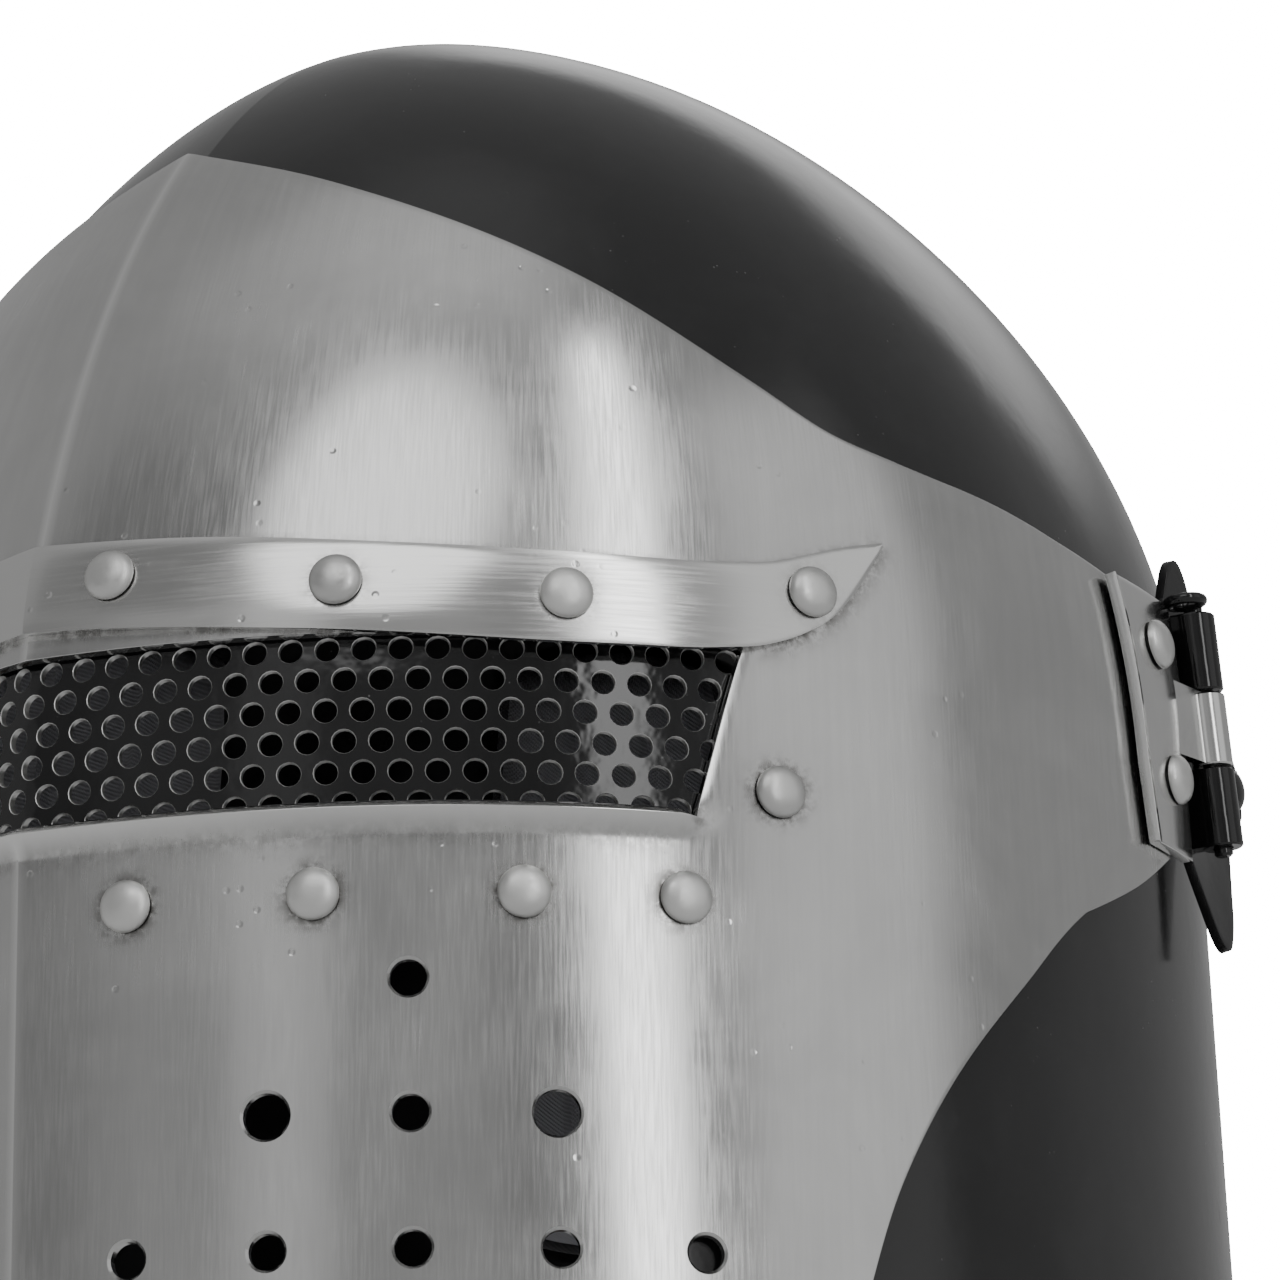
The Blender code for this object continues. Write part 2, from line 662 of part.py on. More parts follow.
def knuckle_spans():
    """The stretches of the hinge's axis that the leaf's and the arm's knuckles take."""
    half = MASK_KNUCKLE / 2
    return {"leaf": (-half, half), "upper": (half + KNUCKLE_GAP, half + KNUCKLE_GAP + ARM_KNUCKLE),
            "lower": (-half - KNUCKLE_GAP - ARM_KNUCKLE, -half - KNUCKLE_GAP)}


def pin_bore(name):
    return knuckle(name, -CUT_REACH, CUT_REACH, PIN_RADIUS + PIN_CLEARANCE)


def plate_between(name, bottom_pair, top_pair, across):
    """A flat bridge with two bottom and two top corners, thickened both ways by across."""
    outer = [[p + across for p in bottom_pair], [p + across for p in top_pair]]
    inner = [[p - across for p in bottom_pair], [p - across for p in top_pair]]
    return closed_block(name, inner, outer)


def leaf_out():
    return MASK_GAP + SHEET + FIT_GAP + LEAF_THICKNESS


def leaf_rivets():
    return [(a, EYE_HEIGHT + z) for a, z in LEAF_RIVETS]


def hinge_leaf(steel, axis, mask_rivet_holes):
    low, high = LEAF_FRONT_EDGE[0][0], LEAF_FRONT_EDGE[1][0]
    rows = []
    for t in np.linspace(0, 1, 5):
        z = EYE_HEIGHT + low + t * (high - low)
        front = LEAF_FRONT_EDGE[0][1] + t * (LEAF_FRONT_EDGE[1][1] - LEAF_FRONT_EDGE[0][1])
        rows.append([off_skull(a, z, leaf_out()) for a in np.linspace(front, LEAF_BACK_DEGREES, 4)])
    leaf = sheet("hinge_leaf_left", rows, LEAF_THICKNESS)
    low, high = knuckle_spans()["leaf"]
    half = outward(LEAF_BACK_DEGREES, HINGE_CENTRE.z) * LEAF_THICKNESS / 2
    root_degrees = LEAF_BACK_DEGREES - LEAF_ROOT_DEGREES
    roots = [off_skull(root_degrees, on_hinge(s).z, leaf_out()) - half for s in (low, high)]
    bridge = plate_between("leaf_bridge", (roots[0], on_hinge(low)), (roots[1], on_hinge(high)),
                           half * 0.96)
    boolean(leaf, bridge, "UNION")
    boolean(leaf, knuckle("leaf_knuckle", low, high), "UNION")
    boolean(leaf, pin_bore("leaf_bore"), "DIFFERENCE")
    boolean(leaf, mask_rivet_holes, "DIFFERENCE")
    mirrored = opposite(leaf, "hinge_leaf_right")
    for piece in (leaf, mirrored):
        finish(piece, steel, axis)


def leaf_rivet_set(metal, axis):
    for side, word in ((1, "left"), (-1, "right")):
        for (a, z), height in zip(leaf_rivets(), ("upper", "lower")):
            seat = leaf_out() + FIT_GAP
            place = surface_frame(side * a, z)
            rivet(f"leaf_rivet_{word}_{height}", seat, MASK_GAP + FIT_GAP, False, place, metal, axis)


def skull_x(y, z):
    """Half the skull's width behind its widest line."""
    flare = FLARE_PER_METRE * max(0.0, DOME_START - z)
    side = SKULL_SIDE * share(z, DOME_START, SIDE_PROFILE) + flare
    reach = SKULL_BACK * share(z, DOME_START, BACK_PROFILE) + BACK_FLARE_SHARE * flare
    back = max(y - widest_line(), 0.0) / reach
    return side * (1 - back**BACK_SQUARENESS) ** (1 / BACK_SQUARENESS)


def pivot_face():
    """The x of the arm's inner face round the pivot, where the arm is flat."""
    return skull_x(PIVOT.y - ARM_FLAT_RADIUS, PIVOT.z) + ARM_FLAT_STAND_OFF


def swept_x(y, z):
    """The skull's greatest half width along the arc that a point of the arm follows as the mask lifts."""
    radius = math.hypot(PIVOT.y - y, z - PIVOT.z)
    start = math.atan2(z - PIVOT.z, PIVOT.y - y)
    arc = np.linspace(start, start + math.radians(MASK_LIFT_DEGREES), 17)
    return max(skull_x(PIVOT.y - radius * math.cos(a), PIVOT.z + radius * math.sin(a)) for a in arc)


def arm_x(y, z):
    """The x of the arm's inner face: it clears the skull in front and is flat round the pivot."""
    return max(pivot_face(), swept_x(y, z) + ARM_STAND_OFF)


def arm_point(behind, height, out):
    z = HINGE_CENTRE.z + height
    y = HINGE_CENTRE.y + HINGE_SLOPE.y * height + behind
    return Vector((arm_x(y, z) + out, y, z))


def pivot_arm(black, axis):
    rows = []
    stations = np.linspace(ARM_TOP[0][0], ARM_TOP[-1][0], 20)
    for t in np.linspace(0, 1, 4):
        row = []
        for d in stations:
            low, high = through(ARM_BOTTOM, d), through(ARM_TOP, d)
            row.append(arm_point(d, low + t * (high - low), ARM_THICKNESS))
        rows.append(row)
    arm = sheet("pivot_arm_left", rows, ARM_THICKNESS)
    spans = knuckle_spans()
    away = outward(LEAF_BACK_DEGREES, HINGE_CENTRE.z)
    behind = away.cross(hinge_axis())
    for word in ("upper", "lower"):
        low, high = spans[word]
        roots = [on_hinge(s) + behind * KNUCKLE_RADIUS * 0.45 for s in (low, high)]
        feet = [Vector((arm_x(p.y, p.z) + ARM_THICKNESS / 2, p.y, p.z)) for p in roots]
        bridge = plate_between(f"{word}_bridge", (feet[0], roots[0]), (feet[1], roots[1]),
                               behind * KNUCKLE_RADIUS * 0.5)
        boolean(arm, bridge, "UNION")
        boolean(arm, knuckle(f"{word}_knuckle", low, high), "UNION")
    boolean(arm, pin_bore("arm_bore"), "DIFFERENCE")
    boolean(arm, pivot_rod("arm_hole", BOLT_RADIUS + BOLT_CLEARANCE), "DIFFERENCE")
    mirrored = opposite(arm, "pivot_arm_right")
    for piece in (arm, mirrored):
        finish(piece, black, axis)


def hinge_pin(black, pin_axes):
    spans = knuckle_spans()
    low, high = spans["lower"][0] - PIN_BELOW, spans["upper"][1] + PIN_NECK
    pin = knuckle("hinge_pin_left", low, high, PIN_RADIUS)
    forward = Vector((0, -1, 0)) - hinge_axis() * Vector((0, -1, 0)).dot(hinge_axis())
    centre = on_hinge(high) + forward.normalized() * PIN_RING_FORWARD
    ring = ring_piece("pin_ring", PIN_RING_RADIUS, PIN_RING_WIRE, frame_at(centre, hinge_axis()))
    boolean(pin, ring, "UNION")
    mirrored = opposite(pin, "hinge_pin_right")
    for piece, holder in zip((pin, mirrored), pin_axes):
        finish(piece, black, holder)


# ---- pivots

def pivot_side(word, side, black, steel):
    """The bolt, its two wedge seats, the washer and the dome nut of one pivot."""
    outwards = Vector((side, 0, 0))
    face = pivot_face()
    base = frame_at(PIVOT, outwards)
    bore = BOLT_RADIUS + BOLT_CLEARANCE
    seat = turned(f"pivot_seat_{word}",
                  [(SEAT_RADIUS, face - SEAT_LENGTH), (SEAT_RADIUS, face - FIT_GAP)], 16, base)
    boolean(seat, dome(f"skull_outside_{word}", -RIM_TRIM, FIT_GAP, floor=True), "DIFFERENCE")
    boolean(seat, pivot_rod(f"seat_bore_{word}", bore, side), "DIFFERENCE")
    finish(seat, black)
    back = face - INNER_SEAT_DEPTH
    inner = turned(f"inner_seat_{word}", [(SEAT_RADIUS, back), (SEAT_RADIUS, face)], 16, base)
    boolean(inner, dome(f"skull_inside_{word}", -RIM_TRIM, -SHEET - 2 * FIT_GAP, floor=True), "INTERSECT")
    boolean(inner, pivot_rod(f"inner_bore_{word}", bore, side), "DIFFERENCE")
    finish(inner, black)
    under = back - FIT_GAP
    outside = face + ARM_THICKNESS + FIT_GAP
    nut_base = outside + WASHER_THICKNESS + FIT_GAP
    head = BOLT_HEAD_RADIUS
    head_height = BOLT_HEAD_HEIGHT
    finish(turned(f"pivot_bolt_{word}",
                  [(head * 0.6, under - head_height), (head, under - head_height * 0.4), (head, under),
                   (BOLT_RADIUS, under), (BOLT_RADIUS, nut_base + NUT_THREAD - FIT_GAP)], 16, base), black)
    washer = turned(f"pivot_washer_{word}",
                    [(WASHER_RADIUS, outside), (WASHER_RADIUS, outside + WASHER_THICKNESS)], 16, base)
    boolean(washer, pivot_rod(f"washer_bore_{word}", bore, side), "DIFFERENCE")
    finish(washer, steel)
    r, h = NUT_RADIUS, NUT_HEIGHT
    nut = turned(f"pivot_nut_{word}",
                 [(r, nut_base), (r, nut_base + h * 0.45), (r * 0.85, nut_base + h * 0.72),
                  (r * 0.5, nut_base + h * 0.93), (0, nut_base + h)], 16, base)
    bore_radius = BOLT_RADIUS + FIT_GAP
    nut_bore = rod(f"nut_bore_{word}", PIVOT, outwards, bore_radius, 0.0, nut_base + NUT_THREAD, 16)
    boolean(nut, nut_bore, "DIFFERENCE")
    finish(nut, black)


# ---- padding

def pad_depths():
    far = -SHEET - PAD_GAP
    return far - PAD_THICKNESS, far


def pads(cloth):
    near, far = pad_depths()
    for name, first, last, low, high in PADS:
        grids = []
        for out, inset in ((near, PAD_TAPER), (far, 0.0)):
            width, height = last - first, high - low
            angles = np.linspace(first + inset * width / 2, last - inset * width / 2, 6)
            heights = np.linspace(low + inset * height / 2, high - inset * height / 2, 4)
            grids.append([[off_skull(a, EYE_HEIGHT + z, out) for a in angles] for z in heights])
        finish(closed_block(name, *grids), cloth)
    crown_pad(cloth)


def crown_pad(cloth):
    """A round pad against the top of the dome."""
    near, far = pad_depths()
    sides, rings = 16, 3
    vertices = []
    for out, shrink in ((far, 1.0), (near, 1 - PAD_TAPER)):
        for ring in range(1, rings + 1):
            for i in range(sides):
                turn = 2 * math.pi * i / sides
                reach = CROWN_PAD_RADIUS * shrink * ring / rings
                vertices.append(under_dome(reach * math.sin(turn), -reach * math.cos(turn), out))
        vertices.append(under_dome(0, 0, out))
    layer = rings * sides + 1
    faces = []
    for start, flip in ((0, False), (layer, True)):
        for i in range(sides):
            j = (i + 1) % sides
            ring_faces = [(start + i, start + j, start + layer - 1)]
            for ring in range(rings - 1):
                a, b = start + ring * sides, start + (ring + 1) * sides
                ring_faces.append((b + i, b + j, a + j, a + i))
            faces += [tuple(reversed(f)) if flip else f for f in ring_faces]
    rim, under = (rings - 1) * sides, layer + (rings - 1) * sides
    faces += [(under + i, under + (i + 1) % sides, rim + (i + 1) % sides, rim + i) for i in range(sides)]
    finish(object_from("crown_pad", vertices, faces), cloth)


def under_dome(x, y, out):
    """A point out metres off the dome's outside above (x, y) of its crown."""
    low, high = DOME_START, CROWN_HEIGHT
    degrees = math.degrees(math.atan2(x, -y))
    reach = math.hypot(x, y)
    for _ in range(30):
        middle = (low + high) / 2
        at = on_skull(degrees, middle)
        if math.hypot(at.x, at.y - widest_line()) > reach:
            low = middle
        else:
            high = middle
    return Vector((x, widest_line() + y, low + out))


# ---- chin strap

def strap_anchor(side):
    """The skull's outside where the strap's rivet goes through, and its normal."""
    degrees, height = side * STRAP_ANCHOR[0], EYE_HEIGHT + STRAP_ANCHOR[1]
    return on_skull(degrees, height), outward(degrees, height)


def rounded(corners, radius):
    """An open flat route through corners, with an arc of this radius at each."""
    points = [corners[0]]
    for before, at, after in zip(corners, corners[1:], corners[2:]):
        first, second = (before - at).normalized(), (after - at).normalized()
        half = first.angle(second) / 2
        centre = at + (first + second).normalized() * radius / math.sin(half)
        start, end = (at + way * radius / math.tan(half) - centre for way in (first, second))
        points += [centre + start.lerp(end, t).normalized() * radius for t in np.linspace(0, 1, 7)]
    return points + [corners[-1]]


def strap_route():
    """Points of the strap from the left end to the right one, as (across, down) in its leaning plane."""
    x = strap_anchor(1)[0].x - SHEET - STRAP_CLEAR_OF_SKULL - STRAP_THICKNESS / 2
    (_, turn_down), (chin_x, chin_down) = STRAP_CORNERS
    half = [Vector((x, -STRAP_END)), Vector((x, turn_down)), Vector((chin_x, chin_down))]
    return rounded(half + [Vector((-p.x, p.y)) for p in reversed(half)], STRAP_BEND_RADIUS)


def route_lengths():
    flat = strap_route()
    return np.cumsum([0] + [(q - p).length for p, q in zip(flat, flat[1:])])


def strap_frame(distance):
    """A place along the strap: X along it, Y across its width, Z away from the wearer."""
    flat, lengths = strap_route(), route_lengths()
    lean = math.radians(STRAP_LEAN_DEGREES)
    down = Vector((0, -math.sin(lean), -math.cos(lean)))
    here, ahead = (Vector([float(np.interp(distance + d, lengths, [p[i] for p in flat])) for i in range(2)])
                   for d in (-0.0004, 0.0004))
    middle, run = (here + ahead) / 2, (ahead - here).normalized()
    anchor = strap_anchor(1)[0]
    place = Vector((middle.x, anchor.y, anchor.z)) + down * middle.y
    along = Vector((run.x, 0, 0)) + down * run.y
    width = Vector((0, math.cos(lean), -math.sin(lean)))
    return Matrix.Translation(place) @ Matrix((along, width, along.cross(width))).transposed().to_4x4()


def ribbon(name, stations, offset):
    """A leather strap through these distances along the route, lifted by offset(distance)."""
    half = STRAP_THICKNESS / 2
    frames = [(strap_frame(s), offset(s)) for s in stations]
    grids = [[[frame @ Vector((0, w * STRAP_WIDTH / 2, lift + face)) for frame, lift in frames]
              for w in (-1, 1)] for face in (-half, half)]
    return closed_block(name, *grids)


def block(name, low, high, frame):
    """A box between two corners of a frame."""
    grids = [[[frame @ Vector((x, y, z)) for x in (low[0], high[0])] for y in (low[1], high[1])]
             for z in (low[2], high[2])]
    return closed_block(name, *grids)


def cross_rod(name, frame, radius, width, sides=14):
    """A rod across the strap's width, centred on a strap frame."""
    return rod(name, frame.translation, frame.col[1].xyz, radius, width / 2, width / 2, sides)


def short_strap(bar, loop_radius):
    """The left strap, which ends in a loop round the buckle's bar."""
    end = BUCKLE_AT - (loop_radius + BUCKLE_WIRE + FIT_GAP) / 2
    strap = ribbon("chin_strap_left", np.linspace(0, end, 12), lambda s: 0.0)
    boolean(strap, cross_rod("strap_loop", bar, loop_radius, STRAP_WIDTH - 2 * FIT_GAP, 16), "UNION")
    boolean(strap, cross_rod("loop_bore", bar, BUCKLE_WIRE + FIT_GAP, CUT_REACH), "DIFFERENCE")
    room = PRONG_WIDTH / 2 + FIT_GAP
    reach = loop_radius + FIT_GAP
    notch = block("loop_notch", (-reach, -room, -CUT_PAST), (reach, room, CUT_PAST), bar)
    boolean(strap, notch, "DIFFERENCE")
    return strap


def long_strap(loop_radius, total):
    """The right strap: under the buckle's far bar, up through the frame and over the left strap."""
    half = STRAP_THICKNESS / 2
    under = -(BUCKLE_WIRE + FIT_GAP + half)
    over = loop_radius + FIT_GAP + half
    beside = STRAP_THICKNESS + FIT_GAP
    bar, far = BUCKLE_AT, BUCKLE_AT + BUCKLE_OPENING
    lift = ((bar - 0.010, beside), (bar - 0.005, over - 0.0008), (bar, over + 0.0004),
            (bar + 0.0030, over - 0.0010), (far - 0.0035, under + 0.0008), (far, under - 0.0002),
            (far + 0.004, under), (far + 0.024, 0.0))
    stations = [bar - STRAP_TAIL_LENGTH, bar - 0.022] + list(np.arange(bar - 0.010, far + 0.008, 0.0015))
    stations += list(np.arange(far + 0.010, total, 0.006)) + [total]
    strap = ribbon("chin_strap_right", stations, lambda s: through(lift, s))
    room = PRONG_WIDTH / 2 + FIT_GAP
    low, high = PRONG_HOLE
    hole = block("prong_hole", (low, -room, -FIT_GAP), (high, room, CUT_DEPTH), strap_frame(bar))
    boolean(strap, hole, "DIFFERENCE")
    return strap


def buckle_frame(name, bar):
    """A round-cornered wire frame, its near side on the bar."""
    half_width = STRAP_WIDTH / 2 + BUCKLE_SIDE_ROOM
    corner = BUCKLE_CORNER
    path = []
    across, along = half_width - corner, BUCKLE_OPENING - corner
    corners = ((along, across, 0), (corner, across, 90), (corner, -across, 180), (along, -across, 270))
    for cx, cy, first in corners:
        for turn in (0, 30, 60, 90):
            angle = math.radians(first + turn)
            path.append((Vector((cx + corner * math.cos(angle), cy + corner * math.sin(angle), 0)),
                         Vector((math.cos(angle), math.sin(angle), 0))))
    sides = 8
    vertices = [bar @ (p + BUCKLE_WIRE * (math.cos(2 * math.pi * k / sides) * n
                                          + math.sin(2 * math.pi * k / sides) * Vector((0, 0, 1))))
                for p, n in path for k in range(sides)]
    count = len(path)
    faces = [(i * sides + k, ((i + 1) % count) * sides + k, ((i + 1) % count) * sides + (k + 1) % sides,
              i * sides + (k + 1) % sides) for i in range(count) for k in range(sides)]
    return object_from(name, vertices, faces)


def chin_strap(leather, metal, prong_axis):
    bar = strap_frame(BUCKLE_AT)
    loop_radius = BUCKLE_WIRE + FIT_GAP + LOOP_WALL
    total = float(route_lengths()[-1])
    straps = (short_strap(bar, loop_radius), long_strap(loop_radius, total))
    depth = SHEET + STRAP_CLEAR_OF_SKULL + STRAP_THICKNESS + FIT_GAP + STRAP_RIVET_ROOM
    for strap, side, word in zip(straps, (1, -1), ("left", "right")):
        point, normal = strap_anchor(side)
        hole = rod(f"anchor_hole_{word}", point, -normal, RIVET_SHANK / 2 + 2 * FIT_GAP, 0.0, CUT_PAST)
        boolean(strap, hole, "DIFFERENCE")
        finish(strap, leather)
        shank, head = RIVET_SHANK / 2, RIVET_HEAD / 2
        top = STRAP_RIVET_HEIGHT
        profile = [(shank, FIT_GAP), (shank, depth), (head, depth), (head * 0.9, depth + top * 0.55),
                   (head * 0.5, depth + top * 0.9), (0, depth + top)]
        place = frame_at(point, -normal, Vector((0, 0, 1)))
        finish(turned(f"strap_rivet_{word}", profile, 10, place), metal)
    finish(buckle_frame("buckle_frame", bar), metal)
    prong = cross_rod("buckle_prong", bar, BUCKLE_WIRE + FIT_GAP + PRONG_WALL, PRONG_WIDTH)
    low = BUCKLE_WIRE + FIT_GAP
    tip = block("prong_tip", (0.0, -PRONG_WIDTH / 2, low),
                (BUCKLE_OPENING + PRONG_PAST_BAR, PRONG_WIDTH / 2, low + PRONG_THICKNESS), bar)
    boolean(prong, tip, "UNION")
    boolean(prong, cross_rod("prong_bore", bar, BUCKLE_WIRE + FIT_GAP, CUT_REACH), "DIFFERENCE")
    finish(prong, metal, prong_axis)


# ---- the helmet

def axis_empty(name, place):
    made = new_object(name, None)
    made.location = place
    return made


def main():
    for old in list(bpy.data.objects):
        bpy.data.objects.remove(old)
    black = material("black_paint", (0.018, 0.018, 0.019), 0.16, 0.0)
    steel = material("satin_steel", (0.56, 0.56, 0.55), 0.34, 1.0)
    rivet_metal = material("rivet_metal", (0.72, 0.72, 0.71), 0.38, 1.0)
    blackened = material("blackened_steel", (0.016, 0.016, 0.017), 0.24, 0.4)
    plated = material("plated_steel", (0.62, 0.61, 0.58), 0.28, 1.0)
    leather = material("leather", (0.062, 0.034, 0.020), 0.62, 0.0)
    cloth = material("padding", (0.36, 0.36, 0.39), 0.90, 0.0)

    mask_axis = axis_empty("mask_axis", PIVOT)
    x, y, z = HINGE_CENTRE
    pin_axes = (axis_empty("pin_axis_left", Vector((x, y, z))),
                axis_empty("pin_axis_right", Vector((-x, y, z))))
    prong_axis = axis_empty("prong_axis", strap_frame(BUCKLE_AT).translation)
    bpy.context.view_layer.update()

    skull_shell(black)
    places = rivet_places()
    places += [("leaf_hole", side * a, z, 0.0) for a, z in leaf_rivets() for side in (1, -1)]
    holes = holes_through_mask(places, RIVET_SHANK / 2 + FIT_GAP, "rivet_cutter")
    mask_plate(steel, mask_axis, holes)
    brow_band(steel, mask_axis, holes)
    eye_grille(blackened, mask_axis, holes)
    mask_rivets(rivet_metal, mask_axis)
    hinge_leaf(steel, mask_axis, holes)
    leaf_rivet_set(rivet_metal, mask_axis)
    pivot_arm(blackened, mask_axis)
    hinge_pin(blackened, pin_axes)
    for word, side in (("left", 1), ("right", -1)):
        pivot_side(word, side, blackened, plated)
    pads(cloth)
    chin_strap(leather, plated, prong_axis)


main()
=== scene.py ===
"""The looks of the combat helmet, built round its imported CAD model.

Every hard piece is built again here, finer than the CAD solid that it stands for and from the same sizes,
with rounded edges. The pads and the chin strap are modelled as soft goods.
"""

import json
import math

import bmesh
import bpy
import numpy as np
from mathutils import Matrix, Vector

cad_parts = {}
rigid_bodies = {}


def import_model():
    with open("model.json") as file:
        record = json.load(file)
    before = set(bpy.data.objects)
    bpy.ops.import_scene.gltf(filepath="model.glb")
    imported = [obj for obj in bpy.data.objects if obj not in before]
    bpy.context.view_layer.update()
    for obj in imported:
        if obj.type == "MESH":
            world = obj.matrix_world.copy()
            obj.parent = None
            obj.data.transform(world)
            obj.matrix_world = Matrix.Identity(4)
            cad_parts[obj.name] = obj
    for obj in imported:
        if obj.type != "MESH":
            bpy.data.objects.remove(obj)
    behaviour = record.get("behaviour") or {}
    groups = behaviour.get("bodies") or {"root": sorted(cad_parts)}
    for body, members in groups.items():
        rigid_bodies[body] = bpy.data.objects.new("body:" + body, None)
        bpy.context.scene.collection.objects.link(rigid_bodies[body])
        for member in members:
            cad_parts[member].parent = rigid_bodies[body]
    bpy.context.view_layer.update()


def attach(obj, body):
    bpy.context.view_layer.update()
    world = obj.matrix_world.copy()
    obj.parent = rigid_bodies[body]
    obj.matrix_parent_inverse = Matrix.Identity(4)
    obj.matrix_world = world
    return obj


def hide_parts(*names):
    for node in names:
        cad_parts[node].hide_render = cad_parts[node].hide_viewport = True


# Sizes in metres, unless a name says degrees.
SHEET = 0.0020
FIT_GAP = 0.0003
# Cutters are this long and reach this far past what they cut.
CUT_REACH = 0.20
CUT_PAST = 0.020

# Skull: half sizes on the plane of the eyes, from the line where it is widest.
EYE_HEIGHT = 0.150
CROWN_HEIGHT = 0.3046
SKULL_SIDE = 0.117
SKULL_FRONT = 0.1303
SKULL_BACK = 0.138
FLARE_PER_METRE = 0.050
BACK_FLARE_SHARE = 0.6
KEEL_HEIGHT = 0.0055
KEEL_FADE = 0.034
DOME_START = EYE_HEIGHT + 0.010
# A profile narrows as (1 - t ** power) ** (1 / root), with t from 0 where it starts to 1 at the crown.
SIDE_PROFILE = (2.1, 1.76)
BACK_PROFILE = (2.7, 1.40)
FRONT_PROFILE = (1.6, 2.36)
BACK_SQUARENESS = 2.15
RIM_TRIM = 0.004
FACE_HALF_WIDTH = SKULL_SIDE - 0.010
CHIN_HALF_WIDTH = SKULL_SIDE - 0.029
FACE_ABOVE_EYES = 0.066
FACE_BELOW_EYES = 0.040
FACE_ARCH_START = 0.020
CHIN_TAPER = 0.055

# Face mask, measured from the eyes: its edges are (degrees round from the front, height) points.
MASK_GAP = 0.0016
MASK_BOTTOM = -0.1460
WING_BOTTOM = -0.0040
WING_END_DEGREES = 102.6
MASK_TOP_EDGE = ((0, 0.1114), (20, 0.0995), (44.7, 0.0777), (58, 0.0608), (64.5, 0.0533), (71, 0.0500),
                 (82, 0.0470), (94, 0.0435), (WING_END_DEGREES, 0.0410))
MASK_CHEEK_EDGE = ((-0.1460, 60), (-0.1200, 61.5), (-0.0910, 64.7), (-0.0735, 68), (-0.0510, 75),
                   (-0.0370, 81.3), (-0.0224, 88.9), (-0.0113, 97.5), (WING_BOTTOM, WING_END_DEGREES))
SLOT_TOP = 0.0125
SLOT_BOTTOM = -0.0172
SLOT_END_TOP_DEGREES = 56.2
SLOT_END_BOTTOM_DEGREES = 52.0
LIP_HEIGHT = 0.0050
LIP_FLARE = 0.0022
BREATH_ROWS = ((-0.0450, 1), (-0.0670, 3), (-0.0890, 5), (-0.1110, 3), (-0.1330, 1))
BREATH_CENTRE_DEGREES = 30.4
BREATH_STEP_DEGREES = 10.6
BREATH_HOLE = 0.0060
CORNER_HOLE = 0.0076

# Brow band over the slot's upper edge.
BAND_THICKNESS = 0.0016
BAND_LOW_EDGE = ((0, 0.0165), (5.5, 0.0158), (22, 0.0130), (46, 0.0108), (54, 0.0116), (58.3, 0.0133),
                 (61, 0.0158), (63.5, 0.0195), (65.5, 0.0245), (68, 0.0325))
BAND_HIGH_EDGE = ((0, 0.0318), (13.5, 0.0300), (30, 0.0271), (42, 0.0260), (54, 0.0262), (58.5, 0.0274),
                  (61.4, 0.0294), (64.2, 0.0314), (66.4, 0.0327), (68, 0.0335))

# Perforated plate behind the slot.
GRILLE_THICKNESS = 0.0012
GRILLE_HOLE = 0.0040
GRILLE_PITCH = 0.0060
GRILLE_ROWS = 6
GRILLE_EDGE = ((0, 0.0300), (55.0, 0.0300), (61.2, 0.0120), (61.2, -0.0200), (54.5, -0.0370), (0, -0.0370))

# Rivets: (degrees, height from the eyes) of one side.
BROW_RIVETS = ((6.9, 0.0244), (25.0, 0.0206), (42.2, 0.0185), (61.4, 0.0226))
LOWER_RIVETS = ((9.0, -0.0310), (23.5, -0.0310), (39.0, -0.0310), (51.0, -0.0308))
SIDE_RIVET = (58.8, -0.0116)
RIVET_HEAD = 0.0088
RIVET_HEAD_HEIGHT = 0.0024
RIVET_SHANK = 0.0040
RIVET_TAIL = 0.0010

# Side hinges: a leaf on the mask, knuckles, and a ring-headed pin that lifts out.
HINGE_CENTRE = Vector((SKULL_SIDE + 0.0025, 0.0424, EYE_HEIGHT + 0.0215))
HINGE_SLOPE = Vector((-0.070, -0.075, 1.0))
LEAF_THICKNESS = 0.0020
LEAF_FRONT_EDGE = ((-0.0038, 98.2), (0.0420, 95.2))
LEAF_BACK_DEGREES = 104.6
LEAF_RIVETS = ((100.6, 0.0325), (102.2, 0.0095))
KNUCKLE_RADIUS = 0.0036
MASK_KNUCKLE = 0.0130
ARM_KNUCKLE = 0.0140
KNUCKLE_GAP = 0.0006
LEAF_ROOT_DEGREES = 1.5
PIN_RADIUS = 0.00165
PIN_CLEARANCE = 0.0002
PIN_BELOW = 0.0015
PIN_NECK = 0.0022
PIN_RING_RADIUS = 0.0030
PIN_RING_WIRE = 0.0010
PIN_RING_FORWARD = 0.0026

# Arms and their pivots. An arm's outline is (distance behind the hinge, height from its centre).
PIVOT = Vector((0.0, 0.0550, EYE_HEIGHT + 0.0140))
MASK_LIFT_DEGREES = 80
ARM_THICKNESS = 0.0018
ARM_STAND_OFF = 0.0010
ARM_FLAT_RADIUS = 0.0090
ARM_FLAT_STAND_OFF = 0.0012
ARM_TOP = ((-0.0025, 0.0240), (0.0, 0.0305), (0.0025, 0.0325), (0.0055, 0.0300), (0.0085, 0.0225),
           (0.0120, 0.0130), (0.0155, 0.0060), (0.0185, 0.0010), (0.0210, -0.0040))
ARM_BOTTOM = ((-0.0025, -0.0230), (0.0, -0.0290), (0.0030, -0.0360), (0.0060, -0.0375), (0.0090, -0.0330),
              (0.0120, -0.0255), (0.0155, -0.0180), (0.0185, -0.0140), (0.0210, -0.0100))
BOLT_RADIUS = 0.0025
BOLT_CLEARANCE = 0.0002
BOLT_HEAD_RADIUS = 0.0065
BOLT_HEAD_HEIGHT = 0.0022
SEAT_RADIUS = 0.0068
SEAT_LENGTH = 0.0200
INNER_SEAT_DEPTH = 0.0110
NUT_RADIUS = 0.0048
NUT_HEIGHT = 0.0034
NUT_THREAD = 0.0022
WASHER_RADIUS = 0.0068
WASHER_THICKNESS = 0.0008

